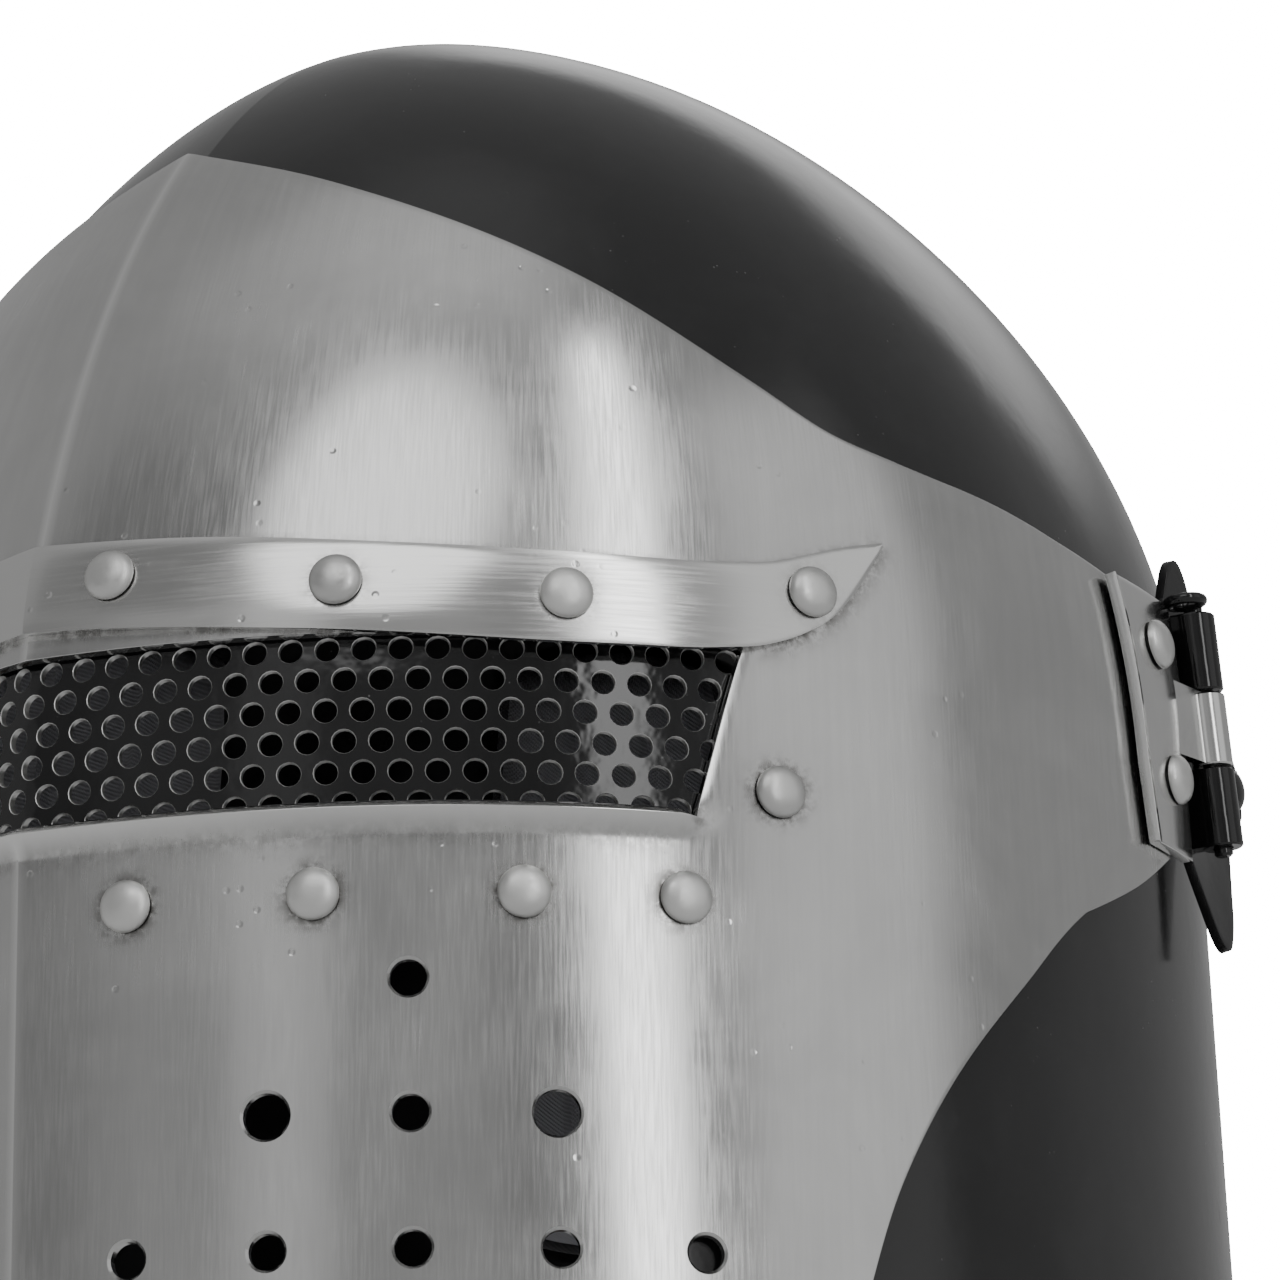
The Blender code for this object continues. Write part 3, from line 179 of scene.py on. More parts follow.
# Padding stuck inside the skull: (name, degrees from, degrees to, low, high) from the eyes.
PAD_THICKNESS = 0.016
PAD_GAP = 0.0025
PADS = (("brow_pad", -36, 36, 0.074, 0.112),
        ("temple_pad_left", 68, 108, -0.006, 0.074),
        ("temple_pad_right", -108, -68, -0.006, 0.074),
        ("rear_pad_left", 138, 164, -0.040, 0.080),
        ("rear_pad_right", -164, -138, -0.040, 0.080),
        ("nape_pad", 168, 192, -0.095, 0.080))
CROWN_PAD_RADIUS = 0.052

# Chin strap: anchored inside the cheeks, with its corners as (across, down) in a plane that leans forward.
STRAP_WIDTH = 0.020
STRAP_THICKNESS = 0.0024
STRAP_ANCHOR = (80.0, -0.024)
STRAP_LEAN_DEGREES = 25.0
STRAP_CORNERS = ((0.0, 0.016), (0.052, 0.092))
STRAP_BEND_RADIUS = 0.022
STRAP_END = 0.008
STRAP_CLEAR_OF_SKULL = 0.0050
STRAP_TAIL_LENGTH = 0.032
BUCKLE_AT = 0.072
BUCKLE_OPENING = 0.014
BUCKLE_WIRE = 0.0013
BUCKLE_SIDE_ROOM = 0.003
BUCKLE_CORNER = 0.003
LOOP_WALL = 0.0018
PRONG_WALL = 0.0012
PRONG_PAST_BAR = 0.0018
STRAP_RIVET_ROOM = 0.0012
STRAP_RIVET_HEIGHT = 0.0022
PRONG_WIDTH = 0.0028
PRONG_THICKNESS = 0.0016
PRONG_HOLE = (-0.0016, 0.0108)

# Looks only: rounded edges and how finely the dome is divided.
EDGE_ROUND = 0.0004
PLATE_EDGE_ROUND = 0.0005
HOLE_CHAMFER = 0.0005
GRILLE_EDGE_ROUND = 0.0001
DOME_COLUMNS = 180

# Padding and stitches.
PAD_STEPS = 46
PAD_ROUNDNESS = 0.16
PAD_CHANNELS = (-0.34, 0.34)
PIPING_RADIUS = 0.0011
STITCH_PITCH = 0.0040
STITCH_INSET = 0.0024
STITCH_PROFILE = ((0.00012, -0.0014), (0.00034, -0.0010), (0.00036, 0.0010), (0.00012, 0.0014))
STRAP_STEP = 0.0012
# The leather that wraps the buckle's bar: thinner, and lifted over this stretch before it.
WRAP_THINNING = 0.75
WRAP_INSET = 0.0009
WRAP_RISE = 0.012
NOTCH_ROOM = PRONG_WIDTH / 2 + FIT_GAP

# Soil with painted shade, and polish with painted highlights, as distances over which they fade.
SOIL_AND_SHADE_ROUND_RIVETS = 0.0011
LIP_POLISH_AND_PAINTED_HIGHLIGHT = 0.0022
RIDGE_PAINTED_HIGHLIGHT = 0.0011

# Studio. Lamps are (azimuth, elevation, half width, half height, softness, strength), in degrees;
# discs are (azimuth, elevation, radius, softness, strength).
LAMPS = (
    (63.0, 26.0, 5.0, 32.0, 2.0, 4.2),
    (46.0, 12.0, 6.0, 22.0, 4.0, -0.08),
    (98.0, 24.0, 18.0, 25.0, 5.0, 0.42),
    (-15.0, 38.0, 14.0, 10.0, 5.0, -0.14),
    (10.0, 8.0, 6.0, 22.0, 3.0, 0.30),
    (-22.0, 4.0, 8.0, 22.0, 5.0, -0.12),
    (10.0, 66.0, 50.0, 9.0, 5.0, 0.14),
    (-165.0, 38.0, 22.0, 9.0, 5.0, 0.9),
)
DISCS = (
    (22.0, 41.0, 15.0, 2.0, 1.7),
    (30.0, 78.0, 12.0, 8.0, 0.25),
)
FIELD_BELOW = 0.46
FIELD_ABOVE = 0.36
LEAST_LIGHT = 0.02
BACKGROUND_STRENGTH = 18.0
DEGREES_PER_RADIAN = 57.29578
FLOOR_Z = -0.32
FLOOR_SIZE = 60
CAMERA_AZIMUTH = 36.0
CAMERA_ELEVATION = -14.0
CAMERA_DISTANCE = 1.2
CAMERA_LENS = 188.4
CAMERA_SHIFT = (0.1153, 0.1974)


def through(points, value):
    """A smooth curve through (x, y) points, read at one x and held level past its ends."""
    xs, ys = (np.array(column, float) for column in zip(*points))
    if value <= xs[0] or value >= xs[-1]:
        return float(ys[0] if value <= xs[0] else ys[-1])
    slopes = np.gradient(ys, xs)
    i = int(np.searchsorted(xs, value)) - 1
    span = xs[i + 1] - xs[i]
    t = (value - xs[i]) / span
    return float(ys[i] * (2 * t**3 - 3 * t**2 + 1) + ys[i + 1] * (3 * t**2 - 2 * t**3)
                 + span * (slopes[i] * (t**3 - 2 * t**2 + t) + slopes[i + 1] * (t**3 - t**2)))


def share(z, start, profile):
    """How much of a half size is left at this height."""
    power, root = profile
    t = min(max((z - start) / (CROWN_HEIGHT - start), 0.0), 1.0)
    return (1 - t**power) ** (1 / root)


def widest_line():
    """The y of the skull's widest section, which centres the whole helmet on the origin."""
    back = SKULL_BACK + BACK_FLARE_SHARE * FLARE_PER_METRE * DOME_START
    return (SKULL_FRONT + MASK_GAP + SHEET - back) / 2


def on_skull(degrees, z):
    """A point of the skull's outside, by its angle round from the front and its height."""
    angle = math.radians(degrees)
    side_share = share(z, DOME_START, SIDE_PROFILE)
    flare = FLARE_PER_METRE * max(0.0, DOME_START - z)
    side = SKULL_SIDE * side_share + flare
    forward = math.cos(angle)
    across = abs(math.sin(angle))
    if forward >= 0:
        keel = KEEL_HEIGHT * side_share
        reach = SKULL_FRONT * share(z, EYE_HEIGHT, FRONT_PROFILE)
        x = side * across
        y = -(reach - keel) * forward - keel * math.exp(-x / KEEL_FADE) * forward
    else:
        reach = SKULL_BACK * share(z, DOME_START, BACK_PROFILE) + BACK_FLARE_SHARE * flare
        x = side * across ** (2 / BACK_SQUARENESS)
        y = reach * (-forward) ** (2 / BACK_SQUARENESS)
    return Vector((math.copysign(x, math.sin(angle)), widest_line() + y, z))


def outward(degrees, z):
    """The skull's outward normal there."""
    step = 0.0008
    z = min(z, CROWN_HEIGHT - 3 * step)
    around = on_skull(degrees + 1.0, z) - on_skull(degrees - 1.0, z)
    up = on_skull(degrees, z + step) - on_skull(degrees, z - step)
    return around.cross(up).normalized()


def off_skull(degrees, z, out):
    """A point that stands out metres off the skull's outside."""
    return on_skull(degrees, z) + outward(degrees, z) * float(out)


def new_object(name, mesh):
    made = bpy.data.objects.new(name, mesh)
    bpy.context.scene.collection.objects.link(made)
    return made


def object_from(name, vertices, faces):
    mesh = bpy.data.meshes.new(name)
    mesh.from_pydata([tuple(v) for v in vertices], [], faces)
    work = bmesh.new()
    work.from_mesh(mesh)
    bmesh.ops.remove_doubles(work, verts=work.verts, dist=1e-6)
    work.to_mesh(mesh)
    work.free()
    return new_object(name, mesh)


def ring_faces(rings, count):
    """Faces between rings of this many points, one above the other."""
    return [(k * count + j, k * count + (j + 1) % count,
             (k + 1) * count + (j + 1) % count, (k + 1) * count + j)
            for k in range(rings - 1) for j in range(count)]


def tube_faces(rings, count, closed=True):
    """Faces between rings of this many points along a tube, which may close on itself."""
    return [(i * count + k, (i + 1) % rings * count + k,
             (i + 1) % rings * count + (k + 1) % count, i * count + (k + 1) % count)
            for i in range(rings if closed else rings - 1) for k in range(count)]


def turned(name, profile, sides, place):
    """A turned piece: (radius, height) points up its axis, placed by a matrix."""
    vertices = []
    for radius, height in profile:
        for i in range(sides):
            turn = 2 * math.pi * i / sides
            vertices.append(place @ Vector((radius * math.cos(turn), radius * math.sin(turn), height)))
    faces = ring_faces(len(profile), sides)
    if profile[0][0] > 0:
        faces.append(tuple(range(sides - 1, -1, -1)))
    if profile[-1][0] > 0:
        faces.append(tuple(range((len(profile) - 1) * sides, len(profile) * sides)))
    return object_from(name, vertices, faces)


def ring_piece(name, ring_radius, wire, place, around=14, section=6):
    """A closed round ring in its frame's XY plane."""
    vertices = []
    for i in range(around):
        turn = 2 * math.pi * i / around
        for k in range(section):
            tilt = 2 * math.pi * k / section
            reach = ring_radius + wire * math.cos(tilt)
            vertices.append(place @ Vector((reach * math.cos(turn), reach * math.sin(turn),
                                            wire * math.sin(tilt))))
    return object_from(name, vertices, tube_faces(around, section))


def frame_at(origin, up, front=Vector((0, -1, 0))):
    """A matrix whose Z runs along up and whose X leans towards front."""
    z = up.normalized()
    x = (front - z * front.dot(z)).normalized()
    y = z.cross(x)
    return Matrix.Translation(origin) @ Matrix((x, y, z)).transposed().to_4x4()


def closed_block(name, rows_near, rows_far):
    """A closed body between two grids of the same layout: rows_near inside, rows_far outside."""
    height, width = len(rows_far), len(rows_far[0])
    count = height * width
    faces = []
    for k in range(height - 1):
        for j in range(width - 1):
            quad = (k * width + j, k * width + j + 1, (k + 1) * width + j + 1, (k + 1) * width + j)
            faces += [quad, tuple(count + i for i in reversed(quad))]
    ring = [j for j in range(width)] + [k * width + width - 1 for k in range(1, height)]
    ring += [(height - 1) * width + j for j in range(width - 2, -1, -1)]
    ring += [k * width for k in range(height - 2, 0, -1)]
    for a, b in zip(ring, ring[1:] + ring[:1]):
        faces.append((b, a, count + a, count + b))
    return object_from(name, [p for row in rows_far for p in row] + [p for row in rows_near for p in row],
                       faces)


def joined(name, pieces):
    """Separate closed bodies in one mesh, for use as a cutter."""
    work = bmesh.new()
    for piece in pieces:
        work.from_mesh(piece.data)
        bpy.data.objects.remove(piece)
    mesh = bpy.data.meshes.new(name)
    work.to_mesh(mesh)
    work.free()
    return new_object(name, mesh)


def face_cutter():
    """The open face: an arch over the eyes, wide beside them and narrower down the cheeks."""
    eye = EYE_HEIGHT
    arch = [(FACE_HALF_WIDTH * math.sin(t),
             eye + FACE_ARCH_START + (FACE_ABOVE_EYES - FACE_ARCH_START) * math.cos(t))
            for t in np.linspace(0, math.pi / 2, 9)]
    outline = [(CHIN_HALF_WIDTH, -CUT_PAST), (CHIN_HALF_WIDTH, eye - FACE_BELOW_EYES - CHIN_TAPER),
               (FACE_HALF_WIDTH, eye - FACE_BELOW_EYES)] + arch[::-1]
    outline += [(-x, z) for x, z in outline[-2::-1]]
    near = [Vector((x, -CUT_REACH, z)) for x, z in outline]
    far = [Vector((x, widest_line() - CUT_PAST, z)) for x, z in outline]
    count = len(outline)
    faces = [tuple(range(count)), tuple(range(2 * count - 1, count - 1, -1))]
    faces += [((i + 1) % count, i, count + i, count + (i + 1) % count) for i in range(count)]
    return object_from("face_cutter", near + far, faces)


def rod(name, centre, direction, radius, before, after, sides=12):
    """A plain cylinder along a direction, from before metres behind its centre to after metres past it."""
    return turned(name, [(radius, -before), (radius, after)], sides, frame_at(centre, direction))


def pivot_rod(name, radius, side=1):
    return rod(name, PIVOT, Vector((side, 0, 0)), radius, 0.0, CUT_REACH, 16)


def rivet_places():
    """(name, degrees, height, thickness of what lies under the head) of every rivet on the mask."""
    places = []
    rows = (("brow_rivet", BROW_RIVETS, FIT_GAP + BAND_THICKNESS), ("lower_rivet", LOWER_RIVETS, 0.0))
    for name, row, raised in rows:
        ordered = [(-a, z) for a, z in row[::-1]] + list(row)
        places += [(f"{name}_{i + 1}", a, EYE_HEIGHT + z, raised) for i, (a, z) in enumerate(ordered)]
    a, z = SIDE_RIVET
    places += [("side_rivet_left", a, EYE_HEIGHT + z, 0.0), ("side_rivet_right", -a, EYE_HEIGHT + z, 0.0)]
    return places


def breath_places():
    """(degrees, height, diameter) of the breath holes on one side, a diamond of rows."""
    places = []
    for height, count in BREATH_ROWS:
        for i in range(count):
            a = BREATH_CENTRE_DEGREES + BREATH_STEP_DEGREES * (i - (count - 1) / 2)
            corner = count == 3 and i != 1
            places.append((a, EYE_HEIGHT + height, CORNER_HOLE if corner else BREATH_HOLE))
    return places


def slot_end(height):
    """The angle at which the slot ends at this height from the eyes."""
    t = (height - SLOT_BOTTOM) / (SLOT_TOP - SLOT_BOTTOM)
    return SLOT_END_BOTTOM_DEGREES + t * (SLOT_END_TOP_DEGREES - SLOT_END_BOTTOM_DEGREES)


def lip(degrees, z):
    """How far the mask's sheet swells outwards below the slot."""
    fade = min(max((SLOT_END_BOTTOM_DEGREES + 2 - abs(degrees)) / 3, 0), 1)
    below = min(max(1 - (EYE_HEIGHT + SLOT_BOTTOM - z) / LIP_HEIGHT, 0), 1)
    above = min(max(1 - (z - EYE_HEIGHT - SLOT_BOTTOM) / LIP_HEIGHT, 0), 1)
    return LIP_FLARE * fade * min(below, above)


def arc_table():
    """Angles of one side, and the length round the skull from the front to each at eye height."""
    angles = np.linspace(0, 90, 91)
    points = [on_skull(a, EYE_HEIGHT) for a in angles]
    lengths = np.cumsum([0] + [(q - p).length for p, q in zip(points, points[1:])])
    return angles, lengths


def ring_of(work, points):
    """Adds a closed outline to a flat mesh."""
    vertices = [work.verts.new((u, v, 0)) for u, v in points]
    return [work.edges.new(pair) for pair in zip(vertices, vertices[1:] + vertices[:1])]


def surface_frame(degrees, z):
    """A frame on the skull's outside with Z along the normal."""
    return frame_at(on_skull(degrees, z), outward(degrees, z), Vector((0, 0, 1)))


def hinge_axis():
    return HINGE_SLOPE.normalized()


def on_hinge(along):
    """A point of the hinge's axis, by its distance above the middle knuckle's centre."""
    return HINGE_CENTRE + hinge_axis() * along


def knuckle_spans():
    """The stretches of the hinge's axis that the leaf's and the arm's knuckles take."""
    half = MASK_KNUCKLE / 2
    return {"leaf": (-half, half), "upper": (half + KNUCKLE_GAP, half + KNUCKLE_GAP + ARM_KNUCKLE),
            "lower": (-half - KNUCKLE_GAP - ARM_KNUCKLE, -half - KNUCKLE_GAP)}


def plate_between(name, bottom_pair, top_pair, across):
    """A flat bridge with two bottom and two top corners, thickened both ways by across."""
    outer = [[p + across for p in bottom_pair], [p + across for p in top_pair]]
    inner = [[p - across for p in bottom_pair], [p - across for p in top_pair]]
    return closed_block(name, inner, outer)


def leaf_out():
    return MASK_GAP + SHEET + FIT_GAP + LEAF_THICKNESS


def leaf_rivets():
    return [(a, EYE_HEIGHT + z) for a, z in LEAF_RIVETS]


def skull_x(y, z):
    """Half the skull's width behind its widest line."""
    flare = FLARE_PER_METRE * max(0.0, DOME_START - z)
    side = SKULL_SIDE * share(z, DOME_START, SIDE_PROFILE) + flare
    reach = SKULL_BACK * share(z, DOME_START, BACK_PROFILE) + BACK_FLARE_SHARE * flare
    back = max(y - widest_line(), 0.0) / reach
    return side * (1 - back**BACK_SQUARENESS) ** (1 / BACK_SQUARENESS)


def pivot_face():
    """The x of the arm's inner face round the pivot, where the arm is flat."""
    return skull_x(PIVOT.y - ARM_FLAT_RADIUS, PIVOT.z) + ARM_FLAT_STAND_OFF


def swept_x(y, z):
    """The skull's greatest half width along the arc that a point of the arm follows as the mask lifts."""
    radius = math.hypot(PIVOT.y - y, z - PIVOT.z)
    start = math.atan2(z - PIVOT.z, PIVOT.y - y)
    arc = np.linspace(start, start + math.radians(MASK_LIFT_DEGREES), 17)
    return max(skull_x(PIVOT.y - radius * math.cos(a), PIVOT.z + radius * math.sin(a)) for a in arc)


def arm_x(y, z):
    """The x of the arm's inner face: it clears the skull in front and is flat round the pivot."""
    return max(pivot_face(), swept_x(y, z) + ARM_STAND_OFF)


def arm_point(behind, height, out):
    z = HINGE_CENTRE.z + height
    y = HINGE_CENTRE.y + HINGE_SLOPE.y * height + behind
    return Vector((arm_x(y, z) + out, y, z))


def pad_depths():
    far = -SHEET - PAD_GAP
    return far - PAD_THICKNESS, far


def under_dome(x, y, out):
    """A point out metres off the dome's outside above (x, y) of its crown."""
    low, high = DOME_START, CROWN_HEIGHT
    degrees = math.degrees(math.atan2(x, -y))
    reach = math.hypot(x, y)
    for _ in range(30):
        middle = (low + high) / 2
        at = on_skull(degrees, middle)
        if math.hypot(at.x, at.y - widest_line()) > reach:
            low = middle
        else:
            high = middle
    return Vector((x, widest_line() + y, low + out))


def strap_anchor(side):
    """The skull's outside where the strap's rivet goes through, and its normal."""
    degrees, height = side * STRAP_ANCHOR[0], EYE_HEIGHT + STRAP_ANCHOR[1]
    return on_skull(degrees, height), outward(degrees, height)


def rounded(corners, radius):
    """An open flat route through corners, with an arc of this radius at each."""
    points = [corners[0]]
    for before, at, after in zip(corners, corners[1:], corners[2:]):
        first, second = (before - at).normalized(), (after - at).normalized()
        half = first.angle(second) / 2
        centre = at + (first + second).normalized() * radius / math.sin(half)
        start, end = (at + way * radius / math.tan(half) - centre for way in (first, second))
        points += [centre + start.lerp(end, t).normalized() * radius for t in np.linspace(0, 1, 7)]
    return points + [corners[-1]]


def strap_route():
    """Points of the strap from the left end to the right one, as (across, down) in its leaning plane."""
    x = strap_anchor(1)[0].x - SHEET - STRAP_CLEAR_OF_SKULL - STRAP_THICKNESS / 2
    (_, turn_down), (chin_x, chin_down) = STRAP_CORNERS
    half = [Vector((x, -STRAP_END)), Vector((x, turn_down)), Vector((chin_x, chin_down))]
    return rounded(half + [Vector((-p.x, p.y)) for p in reversed(half)], STRAP_BEND_RADIUS)


def route_lengths():
    flat = strap_route()
    return np.cumsum([0] + [(q - p).length for p, q in zip(flat, flat[1:])])


def strap_frame(distance):
    """A place along the strap: X along it, Y across its width, Z away from the wearer."""
    flat, lengths = strap_route(), route_lengths()
    lean = math.radians(STRAP_LEAN_DEGREES)
    down = Vector((0, -math.sin(lean), -math.cos(lean)))
    here, ahead = (Vector([float(np.interp(distance + d, lengths, [p[i] for p in flat])) for i in range(2)])
                   for d in (-0.0004, 0.0004))
    middle, run = (here + ahead) / 2, (ahead - here).normalized()
    anchor = strap_anchor(1)[0]
    place = Vector((middle.x, anchor.y, anchor.z)) + down * middle.y
    along = Vector((run.x, 0, 0)) + down * run.y
    width = Vector((0, math.cos(lean), -math.sin(lean)))
    return Matrix.Translation(place) @ Matrix((along, width, along.cross(width))).transposed().to_4x4()


def block(name, low, high, frame):
    """A box between two corners of a frame."""
    grids = [[[frame @ Vector((x, y, z)) for x in (low[0], high[0])] for y in (low[1], high[1])]
             for z in (low[2], high[2])]
    return closed_block(name, *grids)


def cross_rod(name, frame, radius, width, sides=14):
    """A rod across the strap's width, centred on a strap frame."""
    return rod(name, frame.translation, frame.col[1].xyz, radius, width / 2, width / 2, sides)


def buckle_frame(name, bar):
    """A round-cornered wire frame, its near side on the bar."""
    half_width = STRAP_WIDTH / 2 + BUCKLE_SIDE_ROOM
    corner = BUCKLE_CORNER
    path = []
    across, along = half_width - corner, BUCKLE_OPENING - corner
    corners = ((along, across, 0), (corner, across, 90), (corner, -across, 180), (along, -across, 270))
    for cx, cy, first in corners:
        for turn in (0, 30, 60, 90):
            angle = math.radians(first + turn)
            path.append((Vector((cx + corner * math.cos(angle), cy + corner * math.sin(angle), 0)),
                         Vector((math.cos(angle), math.sin(angle), 0))))
    sides = 8
    vertices = [bar @ (p + BUCKLE_WIRE * (math.cos(2 * math.pi * k / sides) * n
                                          + math.sin(2 * math.pi * k / sides) * Vector((0, 0, 1))))
                for p, n in path for k in range(sides)]
    return object_from(name, vertices, tube_faces(len(path), sides))


# ---- fine meshes

def baked(made, keep_cutters=False):
    """Applies the modifiers and removes the cutters, unless they are used again."""
    cutters = [] if keep_cutters else [m.object for m in made.modifiers if m.type == "BOOLEAN"]
    bpy.context.view_layer.update()
    shape = bpy.data.meshes.new_from_object(made.evaluated_get(bpy.context.evaluated_depsgraph_get()))
    made.modifiers.clear()
    made.data = shape
    for cutter in cutters:
        bpy.data.objects.remove(cutter)
    return made


def boolean(made, other, operation="DIFFERENCE", keep=False):
    step = made.modifiers.new(other.name, "BOOLEAN")
    step.operation = operation
    step.object = other
    step.solver = "EXACT"
    baked(made, keep)


def thickened(made, thickness, even=True):
    """Gives a sheet its thickness inwards."""
    solid = made.modifiers.new("thickness", "SOLIDIFY")
    solid.thickness = thickness
    solid.offset = -1
    solid.use_even_offset = even
    baked(made)


def softened(made, levels):
    step = made.modifiers.new("soft", "SUBSURF")
    step.levels = levels
    step.render_levels = levels


def rounded_edges(made, width, segments=3, angle=40):
    step = made.modifiers.new("edges", "BEVEL")
    step.width = width
    step.segments = segments
    step.limit_method = "ANGLE"
    step.angle_limit = math.radians(angle)
    baked(made)


def grid_faces(rows):
    width = len(rows[0])
    return [(k * width + j, k * width + j + 1, (k + 1) * width + j + 1, (k + 1) * width + j)
            for k in range(len(rows) - 1) for j in range(width - 1)]


def fine_sheet(name, rows, faces, thickness, edge=EDGE_ROUND):
    """A dense grid thickened inwards, with rounded borders."""
    made = object_from(name, [p for row in rows for p in row], faces)
    thickened(made, thickness)
    rounded_edges(made, edge)
    return made


def opposite(made, name):
    mesh = made.data.copy()
    mesh.transform(Matrix.Diagonal((-1, 1, 1, 1)))
    mesh.flip_normals()
    return new_object(name, mesh)


def cone_hole(degrees, z, out, radius, sides=32):
    """A cutter for a round hole with a small chamfer where it meets the sheet's outside."""
    place = frame_at(off_skull(degrees, z, out), outward(degrees, z))
    profile = [(radius, -0.007), (radius, -HOLE_CHAMFER), (radius + HOLE_CHAMFER, 0.00004),
               (radius + HOLE_CHAMFER, 0.007)]
    return turned("hole", profile, sides, place)


def dressed(made, material, slot_name, body, *nodes, angle=35):
    """Gives a piece its material, shading and body, and hides the CAD nodes that it stands for."""
    made.data.materials.clear()
    made.data.materials.append(material)
    for polygon in made.data.polygons:
        polygon.material_index = 0
    made.data.shade_smooth()
    made.data.set_sharp_from_angle(angle=math.radians(angle))
    crease_front(made.data)
    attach(made, body)
    if nodes:
        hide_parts(*nodes)
    return made


def dressed_pair(left, material, slot_name, node, bodies, angle=35):
    """Dresses a left piece and its mirror image; node is their CAD name without the side."""
    pair = (left, opposite(left, f"{node}_right_fine"))
    for made, side, body in zip(pair, ("left", "right"), bodies):
        dressed(made, material, slot_name, body, f"{node}_{side}", angle=angle)


def crease_front(mesh):
    """Keeps the keel crisp: its edges lie in the plane of symmetry."""
    sharp = [edge for edge in mesh.edges
             if all(abs(mesh.vertices[i].co.x) < 2e-5 and mesh.vertices[i].co.y < 0 for i in edge.vertices)]
    for edge in sharp:
        edge.use_edge_sharp = True


def float_attribute(made, name, values):
    attribute = made.data.attributes.get(name) or made.data.attributes.new(name, "FLOAT", "POINT")
    attribute.data.foreach_set("value", np.asarray(values, np.float32))


def places_of(made):
    flat = np.zeros(len(made.data.vertices) * 3, np.float32)
    made.data.vertices.foreach_get("co", flat)
    return flat.reshape(-1, 3).astype(float)


# ---- material nodes

class Nodes:
    """Short calls for building the nodes of one material or of the sky."""

    def __init__(self, owner):
        self.owner = owner
        owner.use_nodes = True
        self.tree = owner.node_tree

    def add(self, kind, **values):
        node = self.tree.nodes.new(kind)
        for key, value in values.items():
            setattr(node, key, value)
        return node

    def put(self, socket, value):
        if isinstance(value, bpy.types.NodeSocket):
            self.tree.links.new(value, socket)
        else:
            socket.default_value = value

    def math(self, operation, a, b=0.0, clamp=False):
        node = self.add("ShaderNodeMath", operation=operation, use_clamp=clamp)
        self.put(node.inputs[0], a)
        self.put(node.inputs[1], b)
        return node.outputs[0]

    def noise(self, vector, scale, detail=3.0, roughness=0.55, distortion=0.0):
        node = self.add("ShaderNodeTexNoise")
        self.put(node.inputs["Vector"], vector)
        self.put(node.inputs["Scale"], scale)
        self.put(node.inputs["Detail"], detail)
        self.put(node.inputs["Roughness"], roughness)
        self.put(node.inputs["Distortion"], distortion)
        return node.outputs["Fac"]

    def cells(self, vector, scale, feature="F1", randomness=1.0):
        node = self.add("ShaderNodeTexVoronoi", feature=feature)
        self.put(node.inputs["Vector"], vector)
        self.put(node.inputs["Scale"], scale)
        self.put(node.inputs["Randomness"], randomness)
        return node.outputs["Distance"]

    def ramp(self, value, low, high, to_low=0.0, to_high=1.0):
        node = self.add("ShaderNodeMapRange", interpolation_type="SMOOTHSTEP", clamp=True)
        for i, item in enumerate((value, low, high, to_low, to_high)):
            self.put(node.inputs[i], item)
        return node.outputs[0]

    def mix(self, share, a, b):
        node = self.add("ShaderNodeMix", data_type="RGBA")
        self.put(node.inputs[0], share)
        self.put(node.inputs[6], a)
        self.put(node.inputs[7], b)
        return node.outputs[2]

    def attribute(self, name):
        return self.add("ShaderNodeAttribute", attribute_name=name).outputs["Fac"]

    def object_place(self):
        return self.add("ShaderNodeTexCoord").outputs["Object"]

    def stretched(self, vector, x, y, z):
        node = self.add("ShaderNodeMapping")
        self.put(node.inputs["Vector"], vector)
        node.inputs["Scale"].default_value = (x, y, z)
        return node.outputs[0]

    def round_place(self):
        """(metres round the helmet, height, 0), so that a grain follows the sheet."""
        split = self.add("ShaderNodeSeparateXYZ")
        self.put(split.inputs[0], self.object_place())
        back = self.math("MULTIPLY", split.outputs[1], -1.0)
        turn = self.math("MULTIPLY", self.math("ARCTAN2", split.outputs[0], back), 0.12)
        join = self.add("ShaderNodeCombineXYZ")
        self.put(join.inputs[0], turn)
        self.put(join.inputs[1], split.outputs[2])
        return join.outputs[0]

    def bump(self, height, distance, strength=1.0, normal=None):
        node = self.add("ShaderNodeBump")
        node.inputs["Distance"].default_value = distance
        node.inputs["Strength"].default_value = strength
        self.put(node.inputs["Height"], height)
        if normal is not None:
            self.put(node.inputs["Normal"], normal)
        return node.outputs[0]

    def done(self, **values):
        shader = self.tree.nodes["Principled BSDF"]
        for key, value in values.items():
            self.put(shader.inputs[key.replace("_", " ")], value)
        return self.owner


